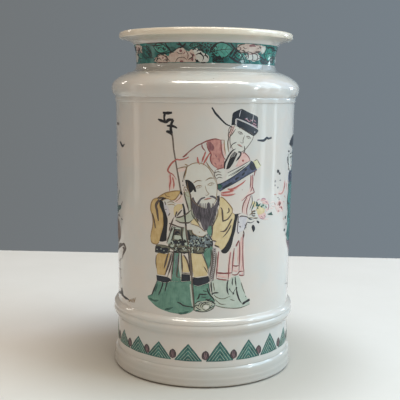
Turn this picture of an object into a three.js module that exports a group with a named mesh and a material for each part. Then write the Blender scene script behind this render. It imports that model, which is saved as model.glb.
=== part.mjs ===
// A porcelain albarello: a straight-sided drug jar with a waisted neck and an everted lip.
// The potter makes each section by itself on the wheel, and lutes one on the next with slip. Every
// lute is a flat ring, so each section here stands face to face on the one below. Its outside follows
// the moulded outline of the jar, and its inside follows the hollow.
// Millimetres, +Z up. The origin is the centre of the circle that the foot stands on.

import * as THREE from "three";

// Heights of the sections, from the table upwards.
const FOOT_RING_HEIGHT = 9;
const FLOOR_THICKNESS = 7.5;
const FOOT_WALL_HEIGHT = 19.5;
const GIRDLE_HEIGHT = 16;
const BODY_HEIGHT = 155.5;
const SHOULDER_HEIGHT = 23;
const NECK_HEIGHT = 24.5;
const LIP_HEIGHT = 5;

// The body's outside, which every moulding is set out from.
const BODY_LOW_RADIUS = 68.1;
const BODY_FLARE = 1.8; // how much wider the body is at the top

// How far each moulding stands out from its neighbour.
const FOOT_PROUD = 0.4; // the plain drum that carries the pointed border, from the body
const HEEL_PROUD = 2.5; // the spreading heel, from the drum
const GIRDLE_PROUD = 3.6; // from the body
const FILLET_PROUD = 0.7; // the thin band under the shoulder roll, from the body
const SHOULDER_PROUD = 3.2; // from the body
const NECK_INSET = 15.9; // the neck's waist, in from the body
const NECK_COVE = 1.6; // the neck's foot, out from its waist
const LIP_OVERHANG = 13.4; // the lip's edge, out from the neck's waist
const LIP_UNDERCUT = 1.8; // the lip's under edge, in from its widest place

// Heights within a section.
const HEEL_ROUNDING = 3.2;
const FILLET_HEIGHT = 3.8;
const SHOULDER_RISE = 10.5; // from the shoulder's foot to its widest place
const NECK_COVE_HEIGHT = 8;
const NECK_FLARE_HEIGHT = 11;

// Thicknesses and inside sizes.
const BODY_WALL = 6;
const NECK_WALL = 5.5;
const STANDING_RING_WIDTH = 7; // the unglazed face that touches the table
const LIP_LAND_WIDTH = 4; // the flat top of the lip, where a cover rests
const THROAT_OPENING = 2.2; // how much wider the throat is at the lip than in the neck

// Fineness of the turned surfaces.
const ROUND_STEPS = 64;
const CURVE_STEPS = 4;

// Levels of the flat lutes.
const floorUnder = FOOT_RING_HEIGHT;
const floorTop = floorUnder + FLOOR_THICKNESS;
const girdleFoot = floorTop + FOOT_WALL_HEIGHT;
const bodyFoot = girdleFoot + GIRDLE_HEIGHT;
const shoulderFoot = bodyFoot + BODY_HEIGHT;
const neckFoot = shoulderFoot + SHOULDER_HEIGHT;
const lipFoot = neckFoot + NECK_HEIGHT;
const lipTop = lipFoot + LIP_HEIGHT;

// Outside radii.
const bodyHighRadius = BODY_LOW_RADIUS + BODY_FLARE;
const footRadius = BODY_LOW_RADIUS + FOOT_PROUD;
const heelRadius = footRadius + HEEL_PROUD;
const heelTopRadius = footRadius + HEEL_PROUD / 2;
const girdleRadius = BODY_LOW_RADIUS + GIRDLE_PROUD;
const filletRadius = bodyHighRadius + FILLET_PROUD;
const shoulderRadius = bodyHighRadius + SHOULDER_PROUD;
const waistRadius = bodyHighRadius - NECK_INSET;
const neckFootRadius = waistRadius + NECK_COVE;
const lipRadius = waistRadius + LIP_OVERHANG;
const lipUnderRadius = lipRadius - LIP_UNDERCUT;

// Inside radii.
const bodyBore = BODY_LOW_RADIUS - BODY_WALL;
const shoulderBore = bodyHighRadius - BODY_WALL;
const neckBore = waistRadius - NECK_WALL;
const throatBore = neckBore + THROAT_OPENING;
const standingOutside = heelRadius - HEEL_ROUNDING;
const recessRadius = standingOutside - STANDING_RING_WIDTH;
const landOutside = lipRadius - LIP_HEIGHT / 2;
const landInside = landOutside - LIP_LAND_WIDTH;

const porcelain = new THREE.MeshStandardMaterial({ color: 0xdad7cd, roughness: 0.12, metalness: 0 });
const biscuit = new THREE.MeshStandardMaterial({ color: 0xc9b79c, roughness: 0.85, metalness: 0 });

// A section of the jar: a closed outline of (radius, height), turned about the jar's axis.
function turned(name, outline, material) {
  const geometry = new THREE.LatheGeometry(outline.getPoints(CURVE_STEPS), ROUND_STEPS);
  geometry.rotateX(Math.PI / 2);
  const mesh = new THREE.Mesh(geometry, material);
  mesh.name = name;
  return mesh;
}

// The turned ring that the jar stands on, left unglazed, with its rounded heel.
function footRing() {
  const outline = new THREE.Path()
    .moveTo(recessRadius, 0)
    .lineTo(standingOutside, 0)
    .quadraticCurveTo(heelRadius, 0, heelRadius, HEEL_ROUNDING)
    .quadraticCurveTo(heelRadius, (HEEL_ROUNDING + floorUnder) / 2, heelTopRadius, floorUnder)
    .lineTo(recessRadius, floorUnder)
    .lineTo(recessRadius, 0);
  return turned("foot_ring", outline, biscuit);
}

// The slab that closes the jar, with the foot ring under its edge and the foot's wall on it.
function floorSlab() {
  const outline = new THREE.Path()
    .moveTo(0, floorUnder)
    .lineTo(heelTopRadius, floorUnder)
    .quadraticCurveTo(footRadius, (floorUnder + floorTop) / 2, footRadius, floorTop)
    .lineTo(0, floorTop);
  return turned("floor_slab", outline, porcelain);
}

// The low drum that carries the pointed border.
function footWall() {
  const outline = new THREE.Path()
    .moveTo(bodyBore, floorTop)
    .lineTo(footRadius, floorTop)
    .lineTo(footRadius, girdleFoot)
    .lineTo(bodyBore, girdleFoot)
    .lineTo(bodyBore, floorTop);
  return turned("foot_wall", outline, porcelain);
}

// The raised roll between foot and body, rounded to its full width at both edges.
function girdle() {
  const middle = (girdleFoot + bodyFoot) / 2;
  const rounding = GIRDLE_HEIGHT / 8;
  const outline = new THREE.Path()
    .moveTo(bodyBore, girdleFoot)
    .lineTo(footRadius, girdleFoot)
    .quadraticCurveTo(girdleRadius, girdleFoot + rounding, girdleRadius, middle)
    .quadraticCurveTo(girdleRadius, bodyFoot - rounding, BODY_LOW_RADIUS, bodyFoot)
    .lineTo(bodyBore, bodyFoot)
    .lineTo(bodyBore, girdleFoot);
  return turned("girdle", outline, porcelain);
}

// The long drum that carries the painted figures.
function bodyWall() {
  const outline = new THREE.Path()
    .moveTo(bodyBore, bodyFoot)
    .lineTo(BODY_LOW_RADIUS, bodyFoot)
    .lineTo(bodyHighRadius, shoulderFoot)
    .lineTo(shoulderBore, shoulderFoot)
    .lineTo(bodyBore, bodyFoot);
  return turned("body_wall", outline, porcelain);
}

// The rolled shoulder over its fillet band, which closes in to the neck inside and out.
function shoulder() {
  const filletTop = shoulderFoot + FILLET_HEIGHT;
  const widest = shoulderFoot + SHOULDER_RISE;
  const roll = neckFoot - widest;
  const outline = new THREE.Path()
    .moveTo(shoulderBore, shoulderFoot)
    .lineTo(filletRadius, shoulderFoot)
    .lineTo(filletRadius, filletTop)
    .quadraticCurveTo(shoulderRadius, (filletTop + widest) / 2, shoulderRadius, widest)
    .quadraticCurveTo(shoulderRadius, widest + roll / 2, neckFootRadius + roll, neckFoot - roll / 4)
    .quadraticCurveTo(neckFootRadius + roll / 2, neckFoot, neckFootRadius, neckFoot)
    .lineTo(neckBore, neckFoot)
    .bezierCurveTo(neckBore, widest, shoulderBore, widest, shoulderBore, shoulderFoot);
  return turned("shoulder", outline, porcelain);
}

// The waisted neck, which flares at the top to carry the lip.
function neck() {
  const flareFoot = lipFoot - NECK_FLARE_HEIGHT;
  const outline = new THREE.Path()
    .moveTo(neckBore, neckFoot)
    .lineTo(neckFootRadius, neckFoot)
    .quadraticCurveTo(waistRadius, neckFoot + NECK_COVE_HEIGHT / 4, waistRadius, neckFoot + NECK_COVE_HEIGHT)
    .lineTo(waistRadius, flareFoot)
    .quadraticCurveTo(waistRadius, lipFoot, lipUnderRadius, lipFoot)
    .lineTo(throatBore, lipFoot)
    .quadraticCurveTo(neckBore, flareFoot, neckBore, neckFoot);
  return turned("neck", outline, porcelain);
}

// The thick everted lip, with a flat land on top for a cover.
function lip() {
  const middle = (lipFoot + lipTop) / 2;
  const outline = new THREE.Path()
    .moveTo(throatBore, lipFoot)
    .lineTo(lipUnderRadius, lipFoot)
    .quadraticCurveTo(lipRadius, lipFoot, lipRadius, middle)
    .quadraticCurveTo(lipRadius, lipTop, landOutside, lipTop)
    .lineTo(landInside, lipTop)
    .quadraticCurveTo(throatBore, lipTop, throatBore, lipFoot);
  return turned("lip", outline, porcelain);
}

const albarello = new THREE.Group();
albarello.add(footRing(), floorSlab(), footWall(), girdle(), bodyWall(), shoulder(), neck(), lip());

export default albarello;
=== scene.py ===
# %% [markdown]
# # A porcelain albarello, painted in overglaze enamels
# The real jar is thrown in white porcelain, dipped in a clear glaze and fired. Then it is painted with
# glassy colours, the enamels, and fired again. This script follows the same order: clay and glaze
# first, then the borders, then the figures. Lengths are millimetres until they reach a mesh.

import math
import random

import bmesh
import bpy
import numpy as np
from mathutils import Matrix, Vector
from mathutils.geometry import delaunay_2d_cdt


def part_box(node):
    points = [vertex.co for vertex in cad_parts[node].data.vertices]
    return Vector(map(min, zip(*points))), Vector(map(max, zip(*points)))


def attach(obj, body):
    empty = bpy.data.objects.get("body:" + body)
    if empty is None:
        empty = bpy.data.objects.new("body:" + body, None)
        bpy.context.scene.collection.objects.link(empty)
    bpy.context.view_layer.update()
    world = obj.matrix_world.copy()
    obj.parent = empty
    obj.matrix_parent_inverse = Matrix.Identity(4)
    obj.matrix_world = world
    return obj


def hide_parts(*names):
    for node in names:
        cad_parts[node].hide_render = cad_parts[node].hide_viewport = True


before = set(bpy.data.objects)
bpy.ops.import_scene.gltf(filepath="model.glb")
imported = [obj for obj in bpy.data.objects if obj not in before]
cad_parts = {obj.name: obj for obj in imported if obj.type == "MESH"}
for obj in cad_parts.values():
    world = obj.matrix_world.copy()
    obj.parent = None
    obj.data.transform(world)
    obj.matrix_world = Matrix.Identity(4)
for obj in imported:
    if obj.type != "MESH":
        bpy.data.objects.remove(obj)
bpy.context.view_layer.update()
MM = 0.001


# %% [markdown]
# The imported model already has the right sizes. They are read from its boxes, and not typed in again,
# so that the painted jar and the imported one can't drift apart.

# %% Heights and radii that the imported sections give
def reach(node):
    """Lowest height, highest height and widest radius of a section, in millimetres."""
    low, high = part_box(node)
    return low[2] / MM, high[2] / MM, high[0] / MM


_, FLOOR_UNDER, HEEL_RADIUS = reach("foot_ring")
_, FLOOR_TOP, _ = reach("floor_slab")
_, GIRDLE_FOOT, DRUM_RADIUS = reach("foot_wall")
_, BODY_FOOT, GIRDLE_RADIUS = reach("girdle")
_, SHOULDER_FOOT, BODY_HIGH_RADIUS = reach("body_wall")
_, NECK_FOOT, SHOULDER_RADIUS = reach("shoulder")
_, LIP_FOOT, _ = reach("neck")
_, LIP_TOP, LIP_RADIUS = reach("lip")
BODY_LOW_RADIUS = 68.1 # the long drum's radius at its foot, which no box gives
print("Levels in mm:", FLOOR_UNDER, FLOOR_TOP, GIRDLE_FOOT, BODY_FOOT)
print("and above:", SHOULDER_FOOT, NECK_FOOT, LIP_FOOT, LIP_TOP)

# %% [markdown]
# ## Shader maths
# A material is a small network of nodes. Written out link by link it is hard to read, so one class
# stands for a number that varies over the surface and turns Python's operators into Math nodes, and
# one method adds any other node. The world and the border's layout use the same two.

# %% A number that varies over a surface
class Varying:
    """The output of a node, with Python's operators adding Math nodes to its network."""

    def __init__(self, network, socket):
        self.network = network
        self.socket = socket

    def math(self, operation, *others):
        sockets = dict(enumerate((self,) + others))
        return self.network.add("ShaderNodeMath", {"operation": operation}, sockets)

    def __add__(self, other):
        return self.math("ADD", other)

    __radd__ = __add__

    def __mul__(self, other):
        return self.math("MULTIPLY", other)

    __rmul__ = __mul__

    def __sub__(self, other):
        return self.math("SUBTRACT", other)

    def __rsub__(self, other):
        return (self * -1) + other

    def __truediv__(self, other):
        return self.math("DIVIDE", other)

    def between(self, low, high):
        """0 below low, 1 above high, and a smooth rise from one to the other."""
        settings = {"interpolation_type": "SMOOTHSTEP"}
        return self.network.add("ShaderNodeMapRange", settings, {0: self, 1: low, 2: high})


# %% A network of nodes
class Network:
    """A tree of nodes that is being built."""

    def __init__(self, tree):
        self.tree = tree

    def add(self, kind, settings, sockets, out=0):
        """Adds a node: its settings first, then the values or links of its input sockets."""
        node = self.tree.nodes.new(kind)
        for name, value in settings.items():
            setattr(node, name, value)
        for name, value in sockets.items():
            self.feed(node.inputs[name], value)
        return Varying(self, node.outputs[out]) if node.outputs else None

    def feed(self, socket, value):
        if isinstance(value, Varying):
            self.tree.links.new(value.socket, socket)
        else:
            socket.default_value = value


# %% [markdown]
# A finish is a network around one Principled shader. It reads Object coordinates, so a pattern sits
# still on the piece, and its sizes are given in millimetres as a potter would.

# %% A finish
class Finish(Network):
    """A material that is being built."""

    def __init__(self, name):
        self.material = bpy.data.materials.new(name)
        self.material.use_nodes = True
        super().__init__(self.material.node_tree)
        self.shader = self.tree.nodes["Principled BSDF"]
        self.place = self.add("ShaderNodeTexCoord", {}, {}, "Object")

    def set(self, **sockets):
        """Sets or links the shader's own sockets, with _ for a space in a name."""
        for name, value in sockets.items():
            self.feed(self.shader.inputs[name.replace("_", " ")], value)
        return self

    def noise(self, size, detail, stretch=(1, 1, 1)):
        """Cloudy noise from 0 to 1. size is the width of its blotches in millimetres."""
        spread = self.add("ShaderNodeMapping", {}, {"Vector": self.place, "Scale": stretch})
        sockets = {"Vector": spread, "Scale": 1 / (size * MM), "Detail": detail, "Roughness": 0.55}
        return self.add("ShaderNodeTexNoise", {}, sockets)

    def mix(self, factor, first, second):
        """A colour between two colours."""
        sockets = {"Factor": factor, 6: first, 7: second}
        return self.add("ShaderNodeMix", {"data_type": "RGBA"}, sockets, 2)

    def bump(self, height, depth):
        """A Bump node whose full height is depth millimetres."""
        return self.add("ShaderNodeBump", {}, {"Height": height, "Distance": depth * MM, "Strength": 1.0})


def srgb(red, green, blue):
    """A colour as it is read on a screen, 0 to 255, turned into light."""
    linear = []
    for value in (red, green, blue):
        share = value / 255
        linear.append(share / 12.92 if share <= 0.04045 else ((share + 0.055) / 1.055) ** 2.4)
    return (*linear, 1.0)


# %% [markdown]
# ## The porcelain and its glaze
# The glaze is a clear glass over a body that is not quite white: a faint grey-green where it is thick,
# a warmer tone where it is thin, and a few iron specks. It is glossy, but its surface is a little uneven
# like orange peel, which softens every reflection.

# %% The glaze
def glaze_colour(finish):
    """The glazed body's colour: slow clouds, rare iron specks, painted shade on foot and cove, painted
    light on the lip.
    """
    clouds = finish.noise(38, 2.0).between(0.35, 0.68)
    base = finish.mix(clouds, srgb(200, 195, 188), srgb(193, 194, 190))
    patches = finish.noise(9, 3.0).between(0.45, 0.8) * 0.35
    base = finish.mix(patches, base, srgb(204, 193, 182))
    cells = {"Vector": finish.place, "Scale": 1 / (11 * MM)}
    specks = finish.add("ShaderNodeTexVoronoi", {}, cells, "Distance")
    rare = finish.noise(24, 1.0).between(0.6, 0.64)
    specks = (1 - specks.between(0.015, 0.045)) * rare * 0.7
    base = finish.mix(specks, base, srgb(120, 96, 74))
    height = finish.add("ShaderNodeSeparateXYZ", {}, {0: finish.place}, 2) / MM
    # Painted shade greys the foot and the cove under the neck band; in the cove the glaze also pools.
    foot = 1 - height.between(12, 24)
    cove_pool_and_shade = height.between(229, 231.5) * (1 - height.between(235, 239))
    base = finish.mix((foot * 0.55).math("MAXIMUM", cove_pool_and_shade), base, srgb(172, 172, 166))
    # The lip has a warmer thin glaze, lightened further as painted light on its upturned top.
    return finish.mix(height.between(251, 256) * 0.75, base, srgb(226, 215, 194))


def glaze_relief(finish):
    """Orange peel and throwing rings as wide as a finger, as one normal."""
    peel = finish.noise(3.2, 2.0) * 0.5
    rings = finish.noise(7, 1.0, stretch=(0.12, 0.12, 1.0)) * 1.2
    return finish.bump(peel + rings, 0.045)


def make_glaze():
    finish = Finish("clear_glaze")
    rough = finish.noise(5, 3.0) * 0.06 + 0.09
    finish.set(Base_Color=glaze_colour(finish), Roughness=rough, Normal=glaze_relief(finish))
    finish.set(Specular_IOR_Level=0.5, Coat_Weight=0.35, Coat_Roughness=0.06)
    return finish.material


GLAZE_LINE = 0.9 # height on the foot where the glaze was wiped off


# %% [markdown]
# A foot is wiped clean before firing, or the jar would stick to its shelf. The glaze stops in a wandering
# line with a rusty edge, which a mask on height and noise draws on one and the same mesh. That edge and
# the bare clay under it are darker still as painted shade, where the foot meets the table.

# %% The foot: glaze outside, bare biscuit on the standing face and in the recess
def make_foot_finish():
    finish = Finish("wiped_foot")
    height = finish.add("ShaderNodeSeparateXYZ", {}, {0: finish.place}, 2) / MM
    wander = finish.noise(6, 2.0) * 0.9 - 0.45
    bare = 1 - (height + wander).between(GLAZE_LINE - 0.15, GLAZE_LINE + 0.15)
    # The rusty edge is darkened beyond its own stain as painted shade.
    rust_and_shade = 1 - (height + wander).between(GLAZE_LINE, GLAZE_LINE + 0.7)
    grit = finish.noise(0.7, 4.0)
    clay = finish.mix(grit.between(0.35, 0.7), srgb(202, 190, 168), srgb(180, 164, 138))
    # Dark clay under the glaze line: partly dirt on the wiped edge, partly painted shade of the contact
    # gap.
    clay = finish.mix(height.between(0.15, 0.6), clay, srgb(92, 80, 62))
    glazed = finish.mix(rust_and_shade * 0.6, glaze_colour(finish), srgb(128, 110, 84))
    finish.set(Base_Color=finish.mix(bare, glazed, clay), Roughness=bare * 0.72 + 0.12)
    finish.set(Normal=finish.bump(grit * bare + finish.noise(3.2, 2.0) * 0.4, 0.06))
    return finish.material


glaze = make_glaze()
wiped_foot = make_foot_finish()
print("Finishes for the clay:", glaze.name, wiped_foot.name)

# %% [markdown]
# ## The outline of the jar
# Each section of the jar is an outline turned about the axis. The outlines are drawn with a few
# cubic curves, as a turner's template is: a curve needs only four points, two of them its ends, and a
# moulding can be made fuller or flatter by moving the other two.

# %% Curves
TURNS = 288 # faces round the jar


def bend(start, pull_a, pull_b, end, steps):
    """Points along a cubic curve from start to end, both included."""
    points = []
    for step in range(steps + 1):
        t = step / steps
        weights = ((1 - t) ** 3, 3 * t * (1 - t) ** 2, 3 * t * t * (1 - t), t ** 3)
        corners = (start, pull_a, pull_b, end)
        points.append(tuple(sum(w * c[axis] for w, c in zip(weights, corners)) for axis in (0, 1)))
    return points


def straight(start, end, steps):
    """Points along a straight stretch, both ends included."""
    return [tuple(np.array(start) + (np.array(end) - start) * i / steps) for i in range(steps + 1)]


def joined(*stretches):
    """Stretches one after another, with a shared point kept once."""
    outline = []
    for stretch in stretches:
        for point in stretch:
            if not outline or math.dist(point, outline[-1]) > 1e-6:
                outline.append(tuple(point))
    return outline


# %% [markdown]
# Each outline starts where the one below ends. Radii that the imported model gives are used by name, and
# the numbers between them are the small mouldings, read as a turner reads a template.

# %% The outside of each section
def template(start, *stretches):
    """Stretches that follow each other: (pull, pull, end, steps) bends, (end, steps) is straight."""
    outline, here = [start], start
    for *pulls, end, steps in stretches:
        outline += (bend if pulls else straight)(here, *pulls, end, steps)[1:]
        here = end
    return outline


STANDING_OUTSIDE = HEEL_RADIUS - 3.2
WAIST_RADIUS = BODY_HIGH_RADIUS - 15.9
NECK_FOOT_RADIUS = WAIST_RADIUS + 3
LIP_UNDER_RADIUS = LIP_RADIUS - 1.8
RIDGE = 0.4 # how far the turning ridge at the foot of the drum stands out

heel_outside = template((STANDING_OUTSIDE, 0),
    ((70.2, 0.1), (71.7, 1.2), (HEEL_RADIUS, 3.4), 9),
    ((HEEL_RADIUS, 5.6), (71.0, 6.6), (70.75, 7.6), 6),
    ((70.7, 8.1), (70.7, 8.6), (70.65, FLOOR_UNDER), 3))
floor_outside = template((70.65, FLOOR_UNDER),
    ((70.6, 10.2), (70.5, 11.6), (70.2, 12.8), 6),
    ((69.9, 13.8), (69.2, 14.3), (68.95, 14.8), 5),
    ((69.1, 15.2), (69.0, 15.8), (DRUM_RADIUS + RIDGE, FLOOR_TOP), 4))
drum_outside = template((DRUM_RADIUS + RIDGE, FLOOR_TOP),
    ((DRUM_RADIUS + RIDGE, 17.6), (DRUM_RADIUS, 18.2), (DRUM_RADIUS, 19.2), 5),
    ((DRUM_RADIUS, GIRDLE_FOOT), 9))
girdle_outside = template((DRUM_RADIUS, GIRDLE_FOOT),
    ((DRUM_RADIUS, 37.2), 2),
    ((DRUM_RADIUS + 0.2, 39.6), (70.2, 40), (70.9, 42.2), 9),
    ((71.5, 43.2), (GIRDLE_RADIUS, 43.8), (GIRDLE_RADIUS, 45), 6),
    ((GIRDLE_RADIUS, 46), (71.2, 46.3), (71.05, 46.9), 6),
    ((71.3, 47.2), (71.45, 47.6), (71.45, 48.2), 5),
    ((71.45, 50), (70.2, 51.2), (BODY_LOW_RADIUS + 0.35, BODY_FOOT), 14))
body_outside = template((BODY_LOW_RADIUS + 0.35, BODY_FOOT),
    ((BODY_LOW_RADIUS, 52.2), (BODY_LOW_RADIUS, 52.8), (BODY_LOW_RADIUS, 54), 4),
    ((BODY_HIGH_RADIUS, SHOULDER_FOOT), 52))
FILLET_RADIUS = BODY_HIGH_RADIUS + 0.7
FILLET_TOP = SHOULDER_FOOT + 3.8
shoulder_outside = template((BODY_HIGH_RADIUS, SHOULDER_FOOT),
    ((70.3, 207.6), (FILLET_RADIUS, 207.9), (FILLET_RADIUS, 208.6), 5),
    ((FILLET_RADIUS, FILLET_TOP - 0.3), 3),
    ((70.3, FILLET_TOP - 0.1), (70.5, 211.6), (71.2, 212.1), 4),
    ((72.6, 213.4), (SHOULDER_RADIUS, 215.6), (SHOULDER_RADIUS, 218), 9),
    ((SHOULDER_RADIUS, 221.6), (70.6, 223.8), (67.2, 226.1), 9),
    ((65, 227.6), (63, 228.5), (61.6, 228.9), 10),
    ((61.2, 229), (61, 229.5), (60.4, 229.6), 5),
    ((59, 229.9), (57.4, 230), (NECK_FOOT_RADIUS, NECK_FOOT), 6))
neck_outside = template((NECK_FOOT_RADIUS, NECK_FOOT),
    ((54.9, 231.4), (WAIST_RADIUS, 233.4), (WAIST_RADIUS, 238), 9),
    ((WAIST_RADIUS, 243.4), (54.9, 247.5), (56.1, 250.6), 14),
    ((57.3, 253.2), (60.4, 253.6), (LIP_UNDER_RADIUS, LIP_FOOT), 9))
lip_outside = template((LIP_UNDER_RADIUS, LIP_FOOT),
    ((67, 255.1), (LIP_RADIUS, 256), (LIP_RADIUS, 257.6), 9),
    ((LIP_RADIUS, 259.3), (66.6, LIP_TOP), (64.9, LIP_TOP), 9))

# %% [markdown]
# A potter's wheel never runs quite true, so the outside wanders by a tenth of a millimetre or so as it
# goes round. That is too little to see as shape, but a glossy surface shows it in its reflections.
# The drum under the girdle keeps its exact radius, because its border is made once and turned. The
# painting has to lie on this same surface, so one function places both.

# %% The true surface, for clay and painting alike
WANDER = 0.11 # millimetres, at the most
GIRTH = 69.0 # radius of the circle along which a flat sketch is measured


def wander(around, height):
    """How far the surface lies inside its outline, in millimetres, at an angle and a height."""
    window = np.clip((height - BODY_FOOT) / 25, 0, 1)
    slow = np.sin(2 * around + 0.9 + height * 0.012) + 0.6 * np.sin(3 * around - 0.4 - height * 0.02)
    return window * WANDER * (slow / 1.6 - 1)


painted_outline = np.array(drum_outside + body_outside + neck_outside)


def on_jar(across, height, lift=0.0, girth=GIRTH):
    """Places on the jar, in metres, of a flat sketch. across runs to the right from the front, measured
    along a circle of radius girth; lift is the height above the glaze. All lengths in millimetres."""
    across, height, lift = np.broadcast_arrays(np.asarray(across, float), height, lift)
    around = across / girth
    radius = np.interp(height, painted_outline[:, 1], painted_outline[:, 0])
    radius = radius + wander(around, height) + lift
    return np.stack([radius * np.sin(around), -radius * np.cos(around), height], -1) * MM


print("Points on the painted outside:", len(painted_outline))

# %% [markdown]
# A mesh becomes an object with its faces outward and its material, and then a piece: it rides the jar's
# one body, and may stand for a section of the imported model.

# %% Meshes and pieces
def put(name, data):
    """A new object in the scene that shows a mesh, a lamp or a camera."""
    thing = bpy.data.objects.new(name, data)
    bpy.context.scene.collection.objects.link(thing)
    return thing


def make_mesh(name, points, faces, material):
    """A closed mesh as an object of its own: faces outward, smooth except over sharp edges."""
    mesh = bpy.data.meshes.new(name)
    mesh.from_pydata([tuple(p) for p in points], [], faces)
    work = bmesh.new()
    work.from_mesh(mesh)
    bmesh.ops.recalc_face_normals(work, faces=work.faces)
    work.to_mesh(mesh)
    work.free()
    mesh.shade_smooth()
    mesh.set_sharp_from_angle(angle=math.radians(38))
    mesh.materials.append(material)
    return put(name, mesh)


def adopt(piece, replaced=()):
    """Makes an object a piece of the jar, riding its one body and hiding the imported nodes it replaces.
    """
    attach(piece, "root")
    if replaced:
        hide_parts(*replaced)
    return piece


# %% [markdown]
# Every section is closed and has a real wall, because a shell without thickness shows its back at the
# mouth. Rows of points are turned about the axis, and a row that lies on it becomes one point.

# %% A turned section
def turn_section(name, outside, inside, material, node):
    """Turns a section's closed outline about the axis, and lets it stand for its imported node."""
    outline = joined(outside, inside)
    radii = np.array([p[0] for p in outline])
    heights = np.array([p[1] for p in outline])
    around = np.arange(TURNS) / TURNS * 2 * math.pi
    points = []
    rows = []
    for radius, height in zip(radii, heights):
        if radius < 1e-6:
            rows.append([len(points)] * TURNS)
            points.append((0, 0, height * MM))
            continue
        rows.append(list(range(len(points), len(points) + TURNS)))
        true = radius + wander(around, height)
        level = np.full(TURNS, height * MM)
        points.extend(zip(true * np.sin(around) * MM, -true * np.cos(around) * MM, level))
    faces = []
    for low, high in zip(rows, rows[1:] + rows[:1]):
        if low[0] == low[1] and high[0] == high[1]:
            continue
        for i in range(TURNS):
            j = (i + 1) % TURNS
            corners = [low[i], low[j], high[j], high[i]]
            faces.append(list(dict.fromkeys(corners)))
    piece = adopt(make_mesh(name, points, faces, material), (node,))
    print(name, "faces:", len(faces), "height:", heights.min(), "to", heights.max())
    return piece


# %% [markdown]
# The sections stand face to face, as the thrown pieces were luted, and every joint falls in a natural
# crease of the outline, so the glaze runs over it without a step.

# %% Turning the eight sections
WALL = 6 # thickness of the thrown wall
BODY_BORE = BODY_LOW_RADIUS - WALL
SHOULDER_BORE = BODY_HIGH_RADIUS - WALL
NECK_BORE = WAIST_RADIUS - 5.5
THROAT = NECK_BORE + 2.2
RECESS_RADIUS = STANDING_OUTSIDE - 7
LAND_INSIDE = LIP_RADIUS - 2.5 - 4

turn_section("standing_ring", heel_outside, [(RECESS_RADIUS, FLOOR_UNDER), (RECESS_RADIUS, 0)],
             wiped_foot, "foot_ring")
turn_section("floor_and_heel", floor_outside, [(0, FLOOR_TOP), (0, FLOOR_UNDER)], glaze, "floor_slab")
turn_section("border_drum", drum_outside, [(BODY_BORE, GIRDLE_FOOT), (BODY_BORE, FLOOR_TOP)],
             glaze, "foot_wall")
turn_section("girdle_roll", girdle_outside, [(BODY_BORE, BODY_FOOT), (BODY_BORE, GIRDLE_FOOT)],
             glaze, "girdle")
body_inside = straight((SHOULDER_BORE, SHOULDER_FOOT), (BODY_BORE, BODY_FOOT), 12)
turn_section("painted_body", body_outside, body_inside, glaze, "body_wall")
shoulder_inside = bend((NECK_BORE, NECK_FOOT), (NECK_BORE, 218), (SHOULDER_BORE, 218),
                       (SHOULDER_BORE, SHOULDER_FOOT), 14)
turn_section("rolled_shoulder", shoulder_outside, shoulder_inside, glaze, "shoulder")
neck_inside = bend((THROAT, LIP_FOOT), (NECK_BORE + 0.8, 249), (NECK_BORE, 240),
                   (NECK_BORE, NECK_FOOT), 12)
turn_section("waisted_neck", neck_outside, neck_inside, glaze, "neck")
lip_inside = bend((LAND_INSIDE, LIP_TOP), (56, LIP_TOP), (THROAT + 0.6, 258), (THROAT, LIP_FOOT), 12)
turn_section("everted_lip", lip_outside, lip_inside, glaze, "lip")

# %% [markdown]
# ## Enamels
# Enamel is coloured glass, ground fine, brushed on and melted. A wash has a soft raised edge where the
# colour pooled, and thin places where the brush ran dry. Opaque black and iron red stay thin and dull;
# greens, yellows and blues are clear and glossy. Each finish here mixes a thin and a full tone by a
# cloudy noise and by how far a point is from the edge of its wash, which the mesh carries as "pool".

# %% Enamel finishes
def make_enamel(name, thin, full, gloss=0.12, cloud=4.0, edge=0.45, streak=0.35):
    """An enamel from its thin to its full tone. edge is how much of the full tone pools at the rim."""
    finish = Finish(name)
    pool = finish.add("ShaderNodeAttribute", {"attribute_name": "pool"}, {}, "Fac")
    clouds = finish.noise(cloud, 4.0).between(0.3, 0.7)
    strokes = finish.noise(1.1, 3.0, stretch=(1, 1, 0.22)).between(0.3, 0.75)
    amount = clouds * (1 - streak) + strokes * streak
    amount = amount * (1 - edge) + (1 - pool.between(0.0, 0.6)) * edge
    finish.set(Base_Color=finish.mix(amount, srgb(*thin), srgb(*full)))
    grain = finish.noise(0.8, 3.0)
    finish.set(Roughness=grain * 0.12 + gloss, Specular_IOR_Level=0.5)
    finish.set(Normal=finish.bump(grain * 0.4 + clouds * 0.6, 0.03))
    return finish.material


# %% [markdown]
# Two tones each, from where the colour is thin to where it pooled, then how dull it is, how large its
# clouds are, and how much it pools. Black and iron red are the dull ones.

# %% The palette
black = make_enamel("manganese_black", (28, 27, 30), (7, 8, 13), 0.34, 1.8)
ink = make_enamel("blue_black", (30, 36, 48), (8, 11, 20), 0.3, 2.4)
brown = make_enamel("black_brown_line", (88, 74, 66), (40, 33, 32), 0.35, 2.2)
iron = make_enamel("iron_red_line", (178, 100, 92), (128, 52, 48), 0.4, 2.2)
red_wash = make_enamel("iron_red_wash", (190, 144, 136), (146, 88, 84), 0.3, 2.4, 0.2)
rose_wash = make_enamel("rose_wash", (206, 184, 176), (196, 146, 142), 0.24, 2.6, 0.25)
pink_wash = make_enamel("pale_pink_wash", (206, 196, 188), (206, 176, 170), 0.2, 3.5, 0.3)
flesh = make_enamel("flesh_wash", (198, 200, 193), (194, 193, 185), 0.16, 4.0, 0.25)
ochre = make_enamel("ochre_yellow", (196, 174, 126), (162, 134, 80), 0.14, 5.0, 0.35)
straw = make_enamel("straw_yellow", (206, 194, 156), (184, 162, 112), 0.14, 5.0, 0.3)
lemon = make_enamel("lemon_yellow", (206, 204, 178), (190, 188, 142), 0.14, 3.0, 0.3)
green = make_enamel("copper_green", (104, 146, 130), (52, 100, 86), 0.1, 5.0, 0.3)
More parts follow.
